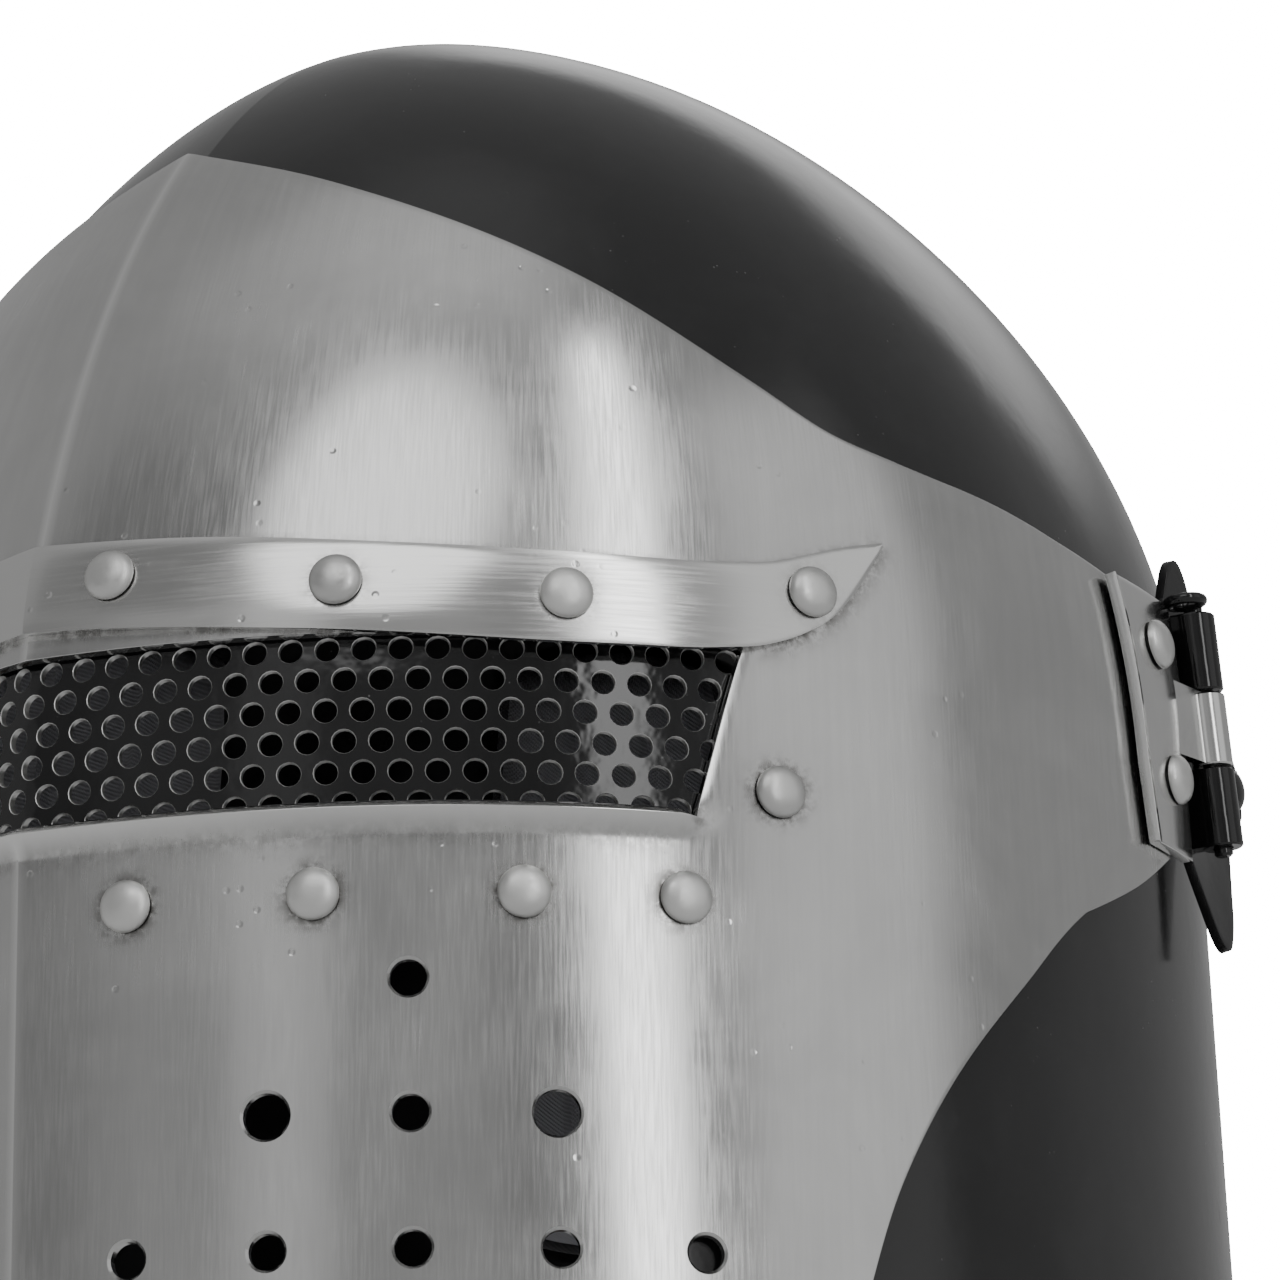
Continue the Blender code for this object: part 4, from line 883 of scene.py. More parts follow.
def steel_paint(name, light, dark, grain_x, grain_y, rough, with_soil_shade_polish_highlight=True, grain_depth=0.00002):
    """Bright steel brushed by hand, with a fine directional grain, cloudy patches and small dings."""
    n = Nodes(bpy.data.materials.new(name))
    place = n.round_place()
    object_place = n.object_place()
    grain = n.noise(n.stretched(place, grain_x, grain_y, 1.0), 1.0, 4.0, 0.6)
    streak = n.noise(n.stretched(place, grain_x * 0.16, grain_y * 0.22, 1.0), 1.0, 3.0, 0.55)
    cloud = n.noise(object_place, 26.0, 4.0, 0.6, 0.4)
    ripple = n.noise(object_place, 9.0, 2.0, 0.5)
    speck = n.ramp(n.cells(object_place, 210.0), 0.05, 0.16, 1.0, 0.0)
    speck = n.math("MULTIPLY", speck, n.ramp(n.noise(object_place, 60.0, 1.0), 0.52, 0.66))
    color = n.mix(n.ramp(cloud, 0.30, 0.72), (*dark, 1), (*light, 1))
    color = n.mix(n.ramp(streak, 0.40, 0.62, 0.12, 0.0), color, (*[c * 0.72 for c in light], 1))
    roughness = n.math("ADD", n.ramp(grain, 0.3, 0.7, -0.05, 0.06),
                       n.ramp(cloud, 0.3, 0.7, rough - 0.03, rough + 0.04))
    if with_soil_shade_polish_highlight:
        # Soil mixed with painted shade darkens the colour towards near-black and roughens it.
        soil_and_shade = n.math("MULTIPLY", n.attribute("soil_and_painted_shade"),
                      n.ramp(n.noise(object_place, 420.0, 3.0, 0.7), 0.30, 0.62))
        color = n.mix(n.math("MINIMUM", soil_and_shade, 0.85), color, (0.085, 0.080, 0.074, 1))
        roughness = n.math("ADD", roughness, n.math("MULTIPLY", soil_and_shade, 0.18))
        # Polish mixed with painted highlight makes the colour paler and the surface smoother.
        roughness = n.math("SUBTRACT", roughness, n.math("MULTIPLY", n.attribute("polish_and_painted_highlight"), 0.12))
        color = n.mix(n.math("MULTIPLY", n.attribute("polish_and_painted_highlight"), 0.5, True), color, (0.86, 0.86, 0.85, 1))
    height = n.math("ADD", n.math("MULTIPLY", grain, 0.5), n.math("MULTIPLY", streak, 0.5))
    normal = n.bump(ripple, 0.0011, 0.22)
    normal = n.bump(speck, -0.00012, 0.5, normal)
    normal = n.bump(height, grain_depth, 1.0, normal)
    return n.done(Base_Color=color, Metallic=1.0, Roughness=n.math("MAXIMUM", roughness, 0.14), Normal=normal)


def gloss_paint(name, color, rough, peel=0.00003):
    """Gloss black enamel with slight orange peel, faint dust and hairline scratches."""
    n = Nodes(bpy.data.materials.new(name))
    place = n.object_place()
    peel_noise = n.noise(place, 260.0, 2.0, 0.5)
    wave = n.noise(place, 14.0, 2.0, 0.5)
    smudge = n.noise(place, 38.0, 5.0, 0.65, 0.6)
    dust = n.math("MULTIPLY", n.ramp(n.cells(place, 520.0), 0.05, 0.13, 1.0, 0.0),
                  n.ramp(n.noise(place, 90.0, 2.0), 0.55, 0.70))
    scratch = n.ramp(n.noise(n.stretched(place, 900.0, 60.0, 120.0), 1.0, 1.0), 0.71, 0.80)
    base = n.mix(n.ramp(smudge, 0.35, 0.75), (*color, 1), (*[c * 1.5 for c in color], 1))
    base = n.mix(n.math("MULTIPLY", dust, 0.45), base, (0.20, 0.20, 0.20, 1))
    roughness = n.math("ADD", n.ramp(smudge, 0.3, 0.8, rough - 0.02, rough + 0.07),
                       n.math("MULTIPLY", scratch, 0.10))
    normal = n.bump(wave, 0.0006, 0.25)
    normal = n.bump(peel_noise, peel, 0.8, normal)
    roughness = n.math("ADD", roughness, n.math("MULTIPLY", dust, 0.25))
    return n.done(Base_Color=base, Roughness=roughness, Normal=normal, Specular_IOR_Level=0.55)


def leather_paint(name):
    n = Nodes(bpy.data.materials.new(name))
    place = n.object_place()
    pores = n.cells(place, 900.0)
    creases = n.ramp(n.cells(place, 330.0, "DISTANCE_TO_EDGE"), 0.0, 0.22)
    cloud = n.noise(place, 70.0, 4.0, 0.6)
    color = n.mix(n.ramp(cloud, 0.3, 0.7), (0.050, 0.026, 0.014, 1), (0.095, 0.052, 0.028, 1))
    color = n.mix(n.ramp(creases, 0.0, 0.9, 0.55, 0.0), color, (0.022, 0.012, 0.007, 1))
    height = n.math("ADD", n.math("MULTIPLY", pores, 0.3), n.math("MULTIPLY", creases, 0.7))
    return n.done(Base_Color=color, Roughness=n.ramp(cloud, 0.3, 0.7, 0.46, 0.60),
                  Normal=n.bump(height, 0.00022, 0.8))


def cloth_paint(name, light, dark):
    """A plain tightly woven cover."""
    n = Nodes(bpy.data.materials.new(name))
    place = n.object_place()
    split = n.add("ShaderNodeSeparateXYZ")
    n.put(split.inputs[0], place)
    across = n.math("SINE", n.math("MULTIPLY", n.math("ADD", split.outputs[0], split.outputs[1]), 7200.0))
    up = n.math("SINE", n.math("MULTIPLY", n.math("SUBTRACT", split.outputs[2], split.outputs[1]), 7200.0))
    weave = n.math("MULTIPLY", across, up)
    fuzz = n.noise(place, 1400.0, 2.0, 0.7)
    fold = n.noise(place, 46.0, 3.0, 0.6)
    tone = n.math("ADD", n.math("MULTIPLY", n.ramp(weave, -1.0, 1.0), 0.5), n.math("MULTIPLY", fold, 0.5))
    color = n.mix(n.ramp(tone, 0.2, 0.8), (*dark, 1), (*light, 1))
    normal = n.bump(fold, 0.0012, 0.35)
    normal = n.bump(n.math("ADD", weave, fuzz), 0.00012, 0.8, normal)
    return n.done(Base_Color=color, Roughness=0.92, Normal=normal, Sheen_Weight=0.25, Sheen_Roughness=0.5)


def plain_paint(name, color, rough, metallic, scale=300.0, depth=0.00004):
    n = Nodes(bpy.data.materials.new(name))
    place = n.object_place()
    grain = n.noise(place, scale, 4.0, 0.6)
    cloud = n.noise(place, scale * 0.12, 3.0, 0.6)
    base = n.mix(n.ramp(cloud, 0.3, 0.7), (*[c * 0.72 for c in color], 1), (*color, 1))
    roughness = n.ramp(grain, 0.25, 0.75, rough - 0.05, rough + 0.08)
    return n.done(Base_Color=base, Metallic=metallic, Roughness=roughness, Normal=n.bump(grain, depth, 0.7))


# ---- the skull

def dome_grid(out, low_rings, steps):
    """Points and faces of the dome this far off the skull's outside, from below the rim to the crown."""
    heights = list(np.linspace(-RIM_TRIM, DOME_START, low_rings))[:-1]
    rise = CROWN_HEIGHT - DOME_START
    heights += [DOME_START + rise * math.sin(math.pi / 2 * i / steps) for i in range(steps)]
    columns = DOME_COLUMNS
    points = [off_skull(-180 + 360 * i / columns, z, out) for z in heights for i in range(columns)]
    points.append(Vector((0, widest_line(), CROWN_HEIGHT + out)))
    faces = ring_faces(len(heights), columns)
    last = (len(heights) - 1) * columns
    faces += [(last + j, last + (j + 1) % columns, len(points) - 1) for j in range(columns)]
    return points, faces


def fine_skull(black):
    points, faces = dome_grid(0.0, 46, 60)
    skull = object_from("skull_fine", points, faces)
    thickened(skull, SHEET)
    boolean(skull, block("rim_cutter", (-0.2, -0.2, -0.02), (0.2, 0.2, 0.0), Matrix()))
    boolean(skull, face_cutter())
    holes = [pivot_rod("hole", BOLT_RADIUS + FIT_GAP, side) for side in (1, -1)]
    holes += [rod("hole", *strap_anchor(side), RIVET_SHANK / 2 + FIT_GAP, 0.008, 0.008) for side in (1, -1)]
    boolean(skull, joined("skull_holes", holes))
    return dressed(skull, black, "black_paint", "skull", "skull_shell", angle=45)


# ---- the mask

def fine_mask_grid():
    """Rows and faces of the mask's outside, with columns that follow the slot's slanted ends."""
    out = MASK_GAP + SHEET
    inner, outer = 76, 46
    heights = list(np.linspace(MASK_BOTTOM, SLOT_BOTTOM - LIP_HEIGHT, 74))
    heights += list(np.linspace(SLOT_BOTTOM - LIP_HEIGHT, SLOT_BOTTOM, 14))[1:]
    slot_low = len(heights) - 1
    heights += list(np.linspace(SLOT_BOTTOM, SLOT_TOP, 26))[1:]
    slot_high = len(heights) - 1
    rows = []
    for height in heights:
        edge = through(MASK_CHEEK_EDGE, height) if height < WING_BOTTOM else WING_END_DEGREES
        end = slot_end(min(max(height, SLOT_BOTTOM), SLOT_TOP))
        half = list(np.linspace(0, end, inner + 1)) + list(np.linspace(end, edge, outer + 1))[1:]
        z = EYE_HEIGHT + height
        both = [-a for a in half[:0:-1]] + half
        rows.append([off_skull(a, z, out + lip(a, z) ** 2 / LIP_FLARE) for a in both])
    half = list(np.linspace(0, SLOT_END_TOP_DEGREES, inner + 1))
    half += list(np.linspace(SLOT_END_TOP_DEGREES, WING_END_DEGREES, outer + 1))[1:]
    for share_up in np.linspace(0, 1, 58)[1:]:
        row = []
        for a in [-a for a in half[:0:-1]] + half:
            z = EYE_HEIGHT + SLOT_TOP + share_up * (through(MASK_TOP_EDGE, abs(a)) - SLOT_TOP)
            row.append(off_skull(a, z, out))
        rows.append(row)
    width = len(rows[0])
    slot_first, slot_last = outer, outer + 2 * inner
    faces = [(k * width + j, k * width + j + 1, (k + 1) * width + j + 1, (k + 1) * width + j)
             for k in range(len(rows) - 1) for j in range(width - 1)
             if not (slot_low <= k < slot_high and slot_first <= j < slot_last)]
    return rows, faces


def distance_to_line(places, line):
    """The least distance from each place to a polyline."""
    best = np.full(len(places), 1.0)
    for a, b in zip(line, line[1:]):
        a, b = np.array(a), np.array(b)
        along = b - a
        t = np.clip(((places - a) @ along) / (along @ along), 0, 1)
        best = np.minimum(best, np.linalg.norm(places - (a + t[:, None] * along), axis=1))
    return best


def band_edge(edge_points, out):
    end = BAND_LOW_EDGE[-1][0]
    return [off_skull(a, EYE_HEIGHT + through(edge_points, abs(a)), out) for a in np.linspace(-end, end, 90)]


def add_soil_and_painted_shade(made, seats, lines):
    """Dark soil and painted shade round the rivets and along the seams, for the material to read."""
    places = places_of(made)
    soil_and_shade = np.zeros(len(places))
    for centre, radius, strength in seats:
        away = np.linalg.norm(places - np.array(centre), axis=1) - radius
        soil_and_shade = np.maximum(soil_and_shade, strength * np.exp(-(np.maximum(away, 0) / SOIL_AND_SHADE_ROUND_RIVETS) ** 1.2))
    for line, reach, strength in lines:
        soil_and_shade = np.maximum(soil_and_shade, strength * np.exp(-(distance_to_line(places, line) / reach) ** 1.3))
    float_attribute(made, "soil_and_painted_shade", soil_and_shade)
    return places


def fine_mask(steel, rivet_holes):
    mask = fine_sheet("mask_fine", *fine_mask_grid(), SHEET)
    out = MASK_GAP + SHEET
    holes = [cone_hole(side * a, z, out, width / 2) for a, z, width in breath_places() for side in (1, -1)]
    boolean(mask, joined("breath_cutter", holes))
    boolean(mask, rivet_holes, keep=True)
    # Painted shade mixed with soil: round the rivets, in the slot's lower corners, along the band's edges,
    # under the lip, along the band's tail and along the leaves' front edges.
    seats = [(off_skull(a, z, out), RIVET_HEAD / 2, 1.0) for _, a, z, _ in rivet_places()]
    slot_z = EYE_HEIGHT + SLOT_BOTTOM
    seats += [(off_skull(side * SLOT_END_BOTTOM_DEGREES, slot_z, out), 0.001, 0.9) for side in (1, -1)]
    under_lip = [off_skull(a, slot_z - LIP_HEIGHT * 0.85, out) for a in np.linspace(-50, 50, 70)]
    tail = [off_skull(a, EYE_HEIGHT + z, out) for a, z in BAND_LOW_EDGE[-5:]]
    (low, low_degrees), (high, high_degrees) = LEAF_FRONT_EDGE
    leaf_front = [off_skull(low_degrees + t * (high_degrees - low_degrees),
                            EYE_HEIGHT + low + t * (high - low), out) for t in np.linspace(0, 1, 12)]
    seams = [(band_edge(BAND_LOW_EDGE, out), 0.0007, 0.8), (band_edge(BAND_HIGH_EDGE, out), 0.0006, 0.6),
             (under_lip, 0.0018, 0.35)]
    for line, reach, strength in ((tail, 0.0016, 0.9), (leaf_front, 0.0009, 0.7)):
        seams += [(line, reach, strength), ([Vector((-p.x, p.y, p.z)) for p in line], reach, strength)]
    places = add_soil_and_painted_shade(mask, seats, seams)
    # Polish with a painted highlight along the lip's crest, and a painted highlight down the ridge of the
    # front.
    lip_line = [off_skull(a, slot_z, out + LIP_FLARE) for a in np.linspace(-52, 52, 60)]
    painted_highlight_and_polish = 1.3 * np.exp(-(distance_to_line(places, lip_line) / LIP_POLISH_AND_PAINTED_HIGHLIGHT) ** 2)
    painted_highlight_and_polish = np.maximum(painted_highlight_and_polish, 1.4 * np.exp(-(np.abs(places[:, 0]) / RIDGE_PAINTED_HIGHLIGHT) ** 2))
    float_attribute(mask, "polish_and_painted_highlight", painted_highlight_and_polish)
    return dressed(mask, steel, "satin_steel", "mask", "mask_plate", angle=38)


def fine_band(steel, rivet_holes):
    low = MASK_GAP + SHEET + FIT_GAP
    end = BAND_LOW_EDGE[-1][0]
    rows = []
    for t in np.linspace(0, 1, 13):
        row = []
        for a in np.linspace(-end, end, 261):
            bottom, top = through(BAND_LOW_EDGE, abs(a)), through(BAND_HIGH_EDGE, abs(a))
            crown = 0.0003 * (1 - (2 * t - 1) ** 4)
            z = EYE_HEIGHT + bottom + t * (top - bottom)
            row.append(off_skull(a, z, low + BAND_THICKNESS - 0.0003 + crown))
        rows.append(row)
    band = fine_sheet("brow_band_fine", rows, grid_faces(rows), BAND_THICKNESS, PLATE_EDGE_ROUND)
    boolean(band, rivet_holes, keep=True)
    out = low + BAND_THICKNESS
    # Painted shade mixed with soil round the brow rivets and along the band's lower edge.
    seats = [(off_skull(a, z, out), RIVET_HEAD / 2, 0.8)
             for name, a, z, _ in rivet_places() if name.startswith("brow")]
    add_soil_and_painted_shade(band, seats, [(band_edge(BAND_LOW_EDGE, out), 0.0004, 0.15)])
    float_attribute(band, "polish_and_painted_highlight", np.ones(len(band.data.vertices)))
    return dressed(band, steel, "satin_steel", "mask", "brow_band", angle=38)


def fine_grille(black, bare):
    """The perforated plate, with round holes."""
    angles, lengths = arc_table()
    corners = [(float(np.interp(a, angles, lengths)), v) for a, v in GRILLE_EDGE]
    corners += [(-u, v) for u, v in corners[-2:0:-1]]
    outline = []
    for (u, v), (u2, v2) in zip(corners, corners[1:] + corners[:1]):
        pieces = max(1, round(math.hypot(u2 - u, v2 - v) / GRILLE_PITCH * 2))
        outline += [(u + (u2 - u) * i / pieces, v + (v2 - v) * i / pieces) for i in range(pieces)]
    work = bmesh.new()
    edges = ring_of(work, outline)
    rise = GRILLE_PITCH * math.sqrt(3) / 2
    middle = (SLOT_TOP + SLOT_BOTTOM) / 2
    for row in range(GRILLE_ROWS):
        v = middle + (row - (GRILLE_ROWS - 1) / 2) * rise
        first = GRILLE_PITCH / 2 * (row % 2)
        end = float(np.interp(slot_end(v), angles, lengths))
        for u in np.arange(first, end + GRILLE_PITCH / 2, GRILLE_PITCH):
            for centre in sorted({u, -u}):
                circle = [(centre + GRILLE_HOLE / 2 * math.cos(math.radians(22.5 * i)),
                           v + GRILLE_HOLE / 2 * math.sin(math.radians(22.5 * i))) for i in range(16)]
                edges += ring_of(work, circle)
    bmesh.ops.triangle_fill(work, edges=edges, use_beauty=True, normal=(0, 0, 1))
    for vertex in work.verts:
        u, v, _ = vertex.co
        a = math.copysign(float(np.interp(abs(u), lengths, angles)), u)
        vertex.co = off_skull(a, EYE_HEIGHT + v, MASK_GAP - 2 * FIT_GAP)
    mesh = bpy.data.meshes.new("eye_grille")
    work.to_mesh(mesh)
    work.free()
    grille = new_object("eye_grille_fine", mesh)
    thickened(grille, GRILLE_THICKNESS, even=False)
    rounded_edges(grille, GRILLE_EDGE_ROUND, 1, 50)
    dressed(grille, black, "blackened_steel", "mask", "eye_grille", angle=30)
    grille.data.materials.append(bare)
    for polygon in grille.data.polygons:
        centre = polygon.center
        degrees = math.degrees(math.atan2(centre.x, -(centre.y - widest_line())))
        if abs(polygon.normal.dot(outward(degrees, centre.z))) < 0.85 and polygon.area < 2e-6:
            polygon.material_index = 1


def dome_profile(radius, seat, height):
    """A rivet head: a rounded foot and a low dome."""
    points = [(radius * 0.98, seat)]
    steps = 8
    for i in range(steps + 1):
        t = math.pi / 2 * i / steps
        reach = radius * math.cos(t) ** 0.85 if i < steps else 0.0
        points.append((reach, seat + 0.0002 + (height - 0.0002) * math.sin(t)))
    return points


def fine_rivet(name, node, seat, tail_seat, spread, place, metal, body="mask"):
    head, shank = RIVET_HEAD / 2, RIVET_SHANK / 2
    tail = [(shank * 1.2, tail_seat - RIVET_TAIL), (shank * 1.5, tail_seat - RIVET_TAIL * 0.5),
            (shank * 1.5, tail_seat)] if spread else []
    profile = tail + [(shank, tail_seat), (shank, seat)] + dome_profile(head, seat, RIVET_HEAD_HEIGHT)
    return dressed(turned(name, profile, 32, place), metal, "rivet_metal", body, node)


def fine_rivets(metal):
    for name, a, z, raised in rivet_places():
        under_grille = abs(a) < 61
        seat = MASK_GAP + SHEET + raised + FIT_GAP
        tail_seat = MASK_GAP - 3 * FIT_GAP - (GRILLE_THICKNESS if under_grille else 0)
        fine_rivet(name + "_fine", name, seat, tail_seat, True, surface_frame(a, z), metal)
    for side, word in ((1, "left"), (-1, "right")):
        for (a, z), height in zip(leaf_rivets(), ("upper", "lower")):
            name = f"leaf_rivet_{word}_{height}"
            fine_rivet(name + "_fine", name, leaf_out() + FIT_GAP, MASK_GAP + FIT_GAP, False,
                       surface_frame(side * a, z), metal)


# ---- hinges and arms

def smooth_rod(name, low, high, radius, sides=40, edge=0.0003):
    """A knuckle or pin along the hinge's axis, with eased ends."""
    place = frame_at(HINGE_CENTRE, hinge_axis())
    profile = [(radius - edge, low), (radius, low + edge), (radius, high - edge), (radius - edge, high)]
    return turned(name, profile, sides, place)


def hinge_bore(name):
    return rod(name, HINGE_CENTRE, hinge_axis(), PIN_RADIUS + PIN_CLEARANCE, 0.05, 0.05, 24)


def fine_leaves(steel, rivet_holes):
    low, high = LEAF_FRONT_EDGE[0][0], LEAF_FRONT_EDGE[1][0]
    rows = []
    for t in np.linspace(0, 1, 41):
        z = EYE_HEIGHT + low + t * (high - low)
        front = LEAF_FRONT_EDGE[0][1] + t * (LEAF_FRONT_EDGE[1][1] - LEAF_FRONT_EDGE[0][1])
        rows.append([off_skull(a, z, leaf_out() + 0.0005 * math.exp(-((a - front) / 0.45)**2))
                     for a in np.linspace(front, LEAF_BACK_DEGREES, 61)])
    leaf = fine_sheet("hinge_leaf_left_fine", rows, grid_faces(rows), LEAF_THICKNESS, PLATE_EDGE_ROUND)
    low, high = knuckle_spans()["leaf"]
    half = outward(LEAF_BACK_DEGREES, HINGE_CENTRE.z) * LEAF_THICKNESS / 2
    root_degrees = LEAF_BACK_DEGREES - LEAF_ROOT_DEGREES
    roots = [off_skull(root_degrees, on_hinge(s).z, leaf_out()) - half for s in (low, high)]
    bridge = plate_between("leaf_bridge", (roots[0], on_hinge(low)), (roots[1], on_hinge(high)), half * 0.96)
    boolean(leaf, bridge, "UNION")
    boolean(leaf, smooth_rod("leaf_knuckle", low, high, KNUCKLE_RADIUS), "UNION")
    boolean(leaf, hinge_bore("leaf_bore"))
    boolean(leaf, rivet_holes, keep=True)
    out = leaf_out()
    # Painted shade mixed with soil round the leaf's rivets and along its root by the knuckle.
    seats = [(off_skull(a, z, out), RIVET_HEAD / 2, 0.6) for a, z in leaf_rivets()]
    root = [Vector(off_skull(LEAF_BACK_DEGREES, EYE_HEIGHT + z, out)) for z in (-0.004, 0.02, 0.042)]
    add_soil_and_painted_shade(leaf, seats, [(root, 0.0006, 0.5)])
    float_attribute(leaf, "polish_and_painted_highlight", np.full(len(leaf.data.vertices), 0.6))
    dressed_pair(leaf, steel, "satin_steel", "hinge_leaf", ("mask", "mask"), angle=38)


def fine_arms(black):
    rows = []
    stations = np.linspace(ARM_TOP[0][0], ARM_TOP[-1][0], 90)
    for t in np.linspace(0, 1, 41):
        row = []
        for d in stations:
            low, high = through(ARM_BOTTOM, d), through(ARM_TOP, d)
            row.append(arm_point(d, low + t * (high - low), ARM_THICKNESS))
        rows.append(row)
    arm = fine_sheet("pivot_arm_left_fine", rows, grid_faces(rows), ARM_THICKNESS, PLATE_EDGE_ROUND)
    spans = knuckle_spans()
    away = outward(LEAF_BACK_DEGREES, HINGE_CENTRE.z)
    behind = away.cross(hinge_axis())
    for word in ("upper", "lower"):
        low, high = spans[word]
        roots = [on_hinge(s) + behind * KNUCKLE_RADIUS * 0.45 for s in (low, high)]
        feet = [Vector((arm_x(p.y, p.z) + ARM_THICKNESS / 2, p.y, p.z)) for p in roots]
        bridge = plate_between(f"{word}_bridge", (feet[0], roots[0]), (feet[1], roots[1]),
                               behind * KNUCKLE_RADIUS * 0.5)
        boolean(arm, bridge, "UNION")
        boolean(arm, smooth_rod(f"{word}_knuckle", low, high, KNUCKLE_RADIUS), "UNION")
    boolean(arm, hinge_bore("arm_bore"))
    boolean(arm, pivot_rod("arm_hole", BOLT_RADIUS + BOLT_CLEARANCE))
    dressed_pair(arm, black, "blackened_steel", "pivot_arm", ("mask", "mask"), angle=38)


def fine_pins(black):
    spans = knuckle_spans()
    low, high = spans["lower"][0] - PIN_BELOW, spans["upper"][1] + PIN_NECK
    pin = smooth_rod("hinge_pin_left_fine", low, high, PIN_RADIUS, 24, 0.0004)
    forward = Vector((0, -1, 0)) - hinge_axis() * Vector((0, -1, 0)).dot(hinge_axis())
    centre = on_hinge(high) + forward.normalized() * PIN_RING_FORWARD
    ring = ring_piece("pin_ring", PIN_RING_RADIUS, PIN_RING_WIRE, frame_at(centre, hinge_axis()), 40, 16)
    boolean(pin, ring, "UNION")
    dressed_pair(pin, black, "blackened_steel", "hinge_pin", ("pin_left", "pin_right"))


# ---- pivots

def outside_body(name, out):
    """The dome as a closed solid this far off the skull's outside."""
    points, faces = dome_grid(out, 12, 40)
    faces.append(tuple(range(DOME_COLUMNS - 1, -1, -1)))
    return object_from(name, points, faces)


def fine_pivot(word, side, black, plated):
    outwards = Vector((side, 0, 0))
    face = pivot_face()
    base = frame_at(PIVOT, outwards)
    bore = BOLT_RADIUS + BOLT_CLEARANCE
    seat = turned(f"pivot_seat_{word}_fine",
                  [(SEAT_RADIUS, face - SEAT_LENGTH), (SEAT_RADIUS, face - FIT_GAP - EDGE_ROUND),
                   (SEAT_RADIUS - EDGE_ROUND, face - FIT_GAP)], 48, base)
    boolean(seat, outside_body(f"outside_{word}", FIT_GAP))
    boolean(seat, pivot_rod(f"seat_bore_{word}", bore, side))
    dressed(seat, black, "blackened_steel", "skull", f"pivot_seat_{word}")
    back = face - INNER_SEAT_DEPTH
    inner = turned(f"inner_seat_{word}_fine", [(SEAT_RADIUS, back), (SEAT_RADIUS, face)], 48, base)
    boolean(inner, outside_body(f"inside_{word}", -SHEET - 2 * FIT_GAP), "INTERSECT")
    boolean(inner, pivot_rod(f"inner_bore_{word}", bore, side))
    dressed(inner, black, "blackened_steel", "skull", f"inner_seat_{word}")
    under = back - FIT_GAP
    outside = face + ARM_THICKNESS + FIT_GAP
    nut_base = outside + WASHER_THICKNESS + FIT_GAP
    head = BOLT_HEAD_RADIUS
    dressed(turned(f"pivot_bolt_{word}_fine",
                   [(0, under - BOLT_HEAD_HEIGHT), (head * 0.55, under - BOLT_HEAD_HEIGHT * 0.93),
                    (head * 0.85, under - BOLT_HEAD_HEIGHT * 0.68), (head, under - BOLT_HEAD_HEIGHT * 0.3),
                    (head, under), (BOLT_RADIUS, under),
                    (BOLT_RADIUS, nut_base + NUT_THREAD - FIT_GAP)], 48, base),
            black, "blackened_steel", "skull", f"pivot_bolt_{word}")
    washer = turned(f"pivot_washer_{word}_fine",
                    [(WASHER_RADIUS - 0.0003, outside), (WASHER_RADIUS, outside + 0.0003),
                     (WASHER_RADIUS, outside + WASHER_THICKNESS - 0.0003),
                     (WASHER_RADIUS - 0.0003, outside + WASHER_THICKNESS)], 48, base)
    boolean(washer, pivot_rod(f"washer_bore_{word}", bore, side))
    dressed(washer, plated, "plated_steel", "skull", f"pivot_washer_{word}")
    r, h = NUT_RADIUS, NUT_HEIGHT
    flats = turned(f"pivot_nut_{word}_fine", [(r, nut_base), (r, nut_base + h * 0.48)], 6, base)
    dome_top = [(r * 0.84, nut_base + h * 0.40)]
    dome_top += [(r * 0.84 * math.cos(t), nut_base + h * 0.45 + h * 0.55 * math.sin(t))
                 for t in np.linspace(0, math.pi / 2 * 0.98, 12)] + [(0, nut_base + h)]
    boolean(flats, turned("nut_dome", dome_top, 40, base), "UNION")
    nut_bore = rod(f"nut_bore_{word}", PIVOT, outwards, BOLT_RADIUS + FIT_GAP, 0, nut_base + NUT_THREAD, 24)
    boolean(flats, nut_bore)
    dressed(flats, black, "blackened_steel", "skull", f"pivot_nut_{word}")


# ---- soft goods

def pad_body(name, place_at, cloth, piping, nodes):
    """A crowned pad against the skull with channels and piping.

    place_at(u, v, out) takes u and v from -1 to 1.
    """
    far = pad_depths()[1]
    steps = np.linspace(-1, 1, PAD_STEPS)
    fronts, backs = [], []
    for v in steps:
        front, back = [], []
        for u in steps:
            su = u * math.sqrt(1 - PAD_ROUNDNESS * v * v)
            sv = v * math.sqrt(1 - PAD_ROUNDNESS * u * u)
            fall = max(0.0, (1 - abs(u) ** 5) * (1 - abs(v) ** 5)) ** 0.42
            channel = sum(math.exp(-((su - c) / 0.045) ** 2) for c in PAD_CHANNELS)
            depth = PAD_THICKNESS * (0.16 + 0.84 * fall) * (1 - 0.20 * channel * fall)
            front.append(place_at(su, sv, far - depth + 0.0004))
            back.append(place_at(su, sv, far - 0.0022 * (1 - fall)))
        fronts.append(front)
        backs.append(back)
    pad = closed_block(name, fronts, backs)
    pad = dressed(pad, cloth, "padding", "skull", *nodes, angle=80)
    softened(pad, 1)
    border = [(t, -1) for t in steps] + [(1, t) for t in steps] + [(t, 1) for t in steps[::-1]]
    border += [(-1, t) for t in steps[::-1]]
    rim = [place_at(u * math.sqrt(1 - PAD_ROUNDNESS * v * v), v * math.sqrt(1 - PAD_ROUNDNESS * u * u),
                    far - 0.0030) for u, v in border]
    cord = bpy.data.curves.new(name + "_piping", "CURVE")
    cord.dimensions = "3D"
    cord.bevel_depth = PIPING_RADIUS
    cord.bevel_resolution = 3
    line = cord.splines.new("POLY")
    line.points.add(len(rim) - 1)
    for point, at in zip(line.points, rim):
        point.co = (*at, 1)
    line.use_cyclic_u = True
    made = new_object(name + "_piping", cord)
    cord.materials.append(piping)
    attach(made, "skull")


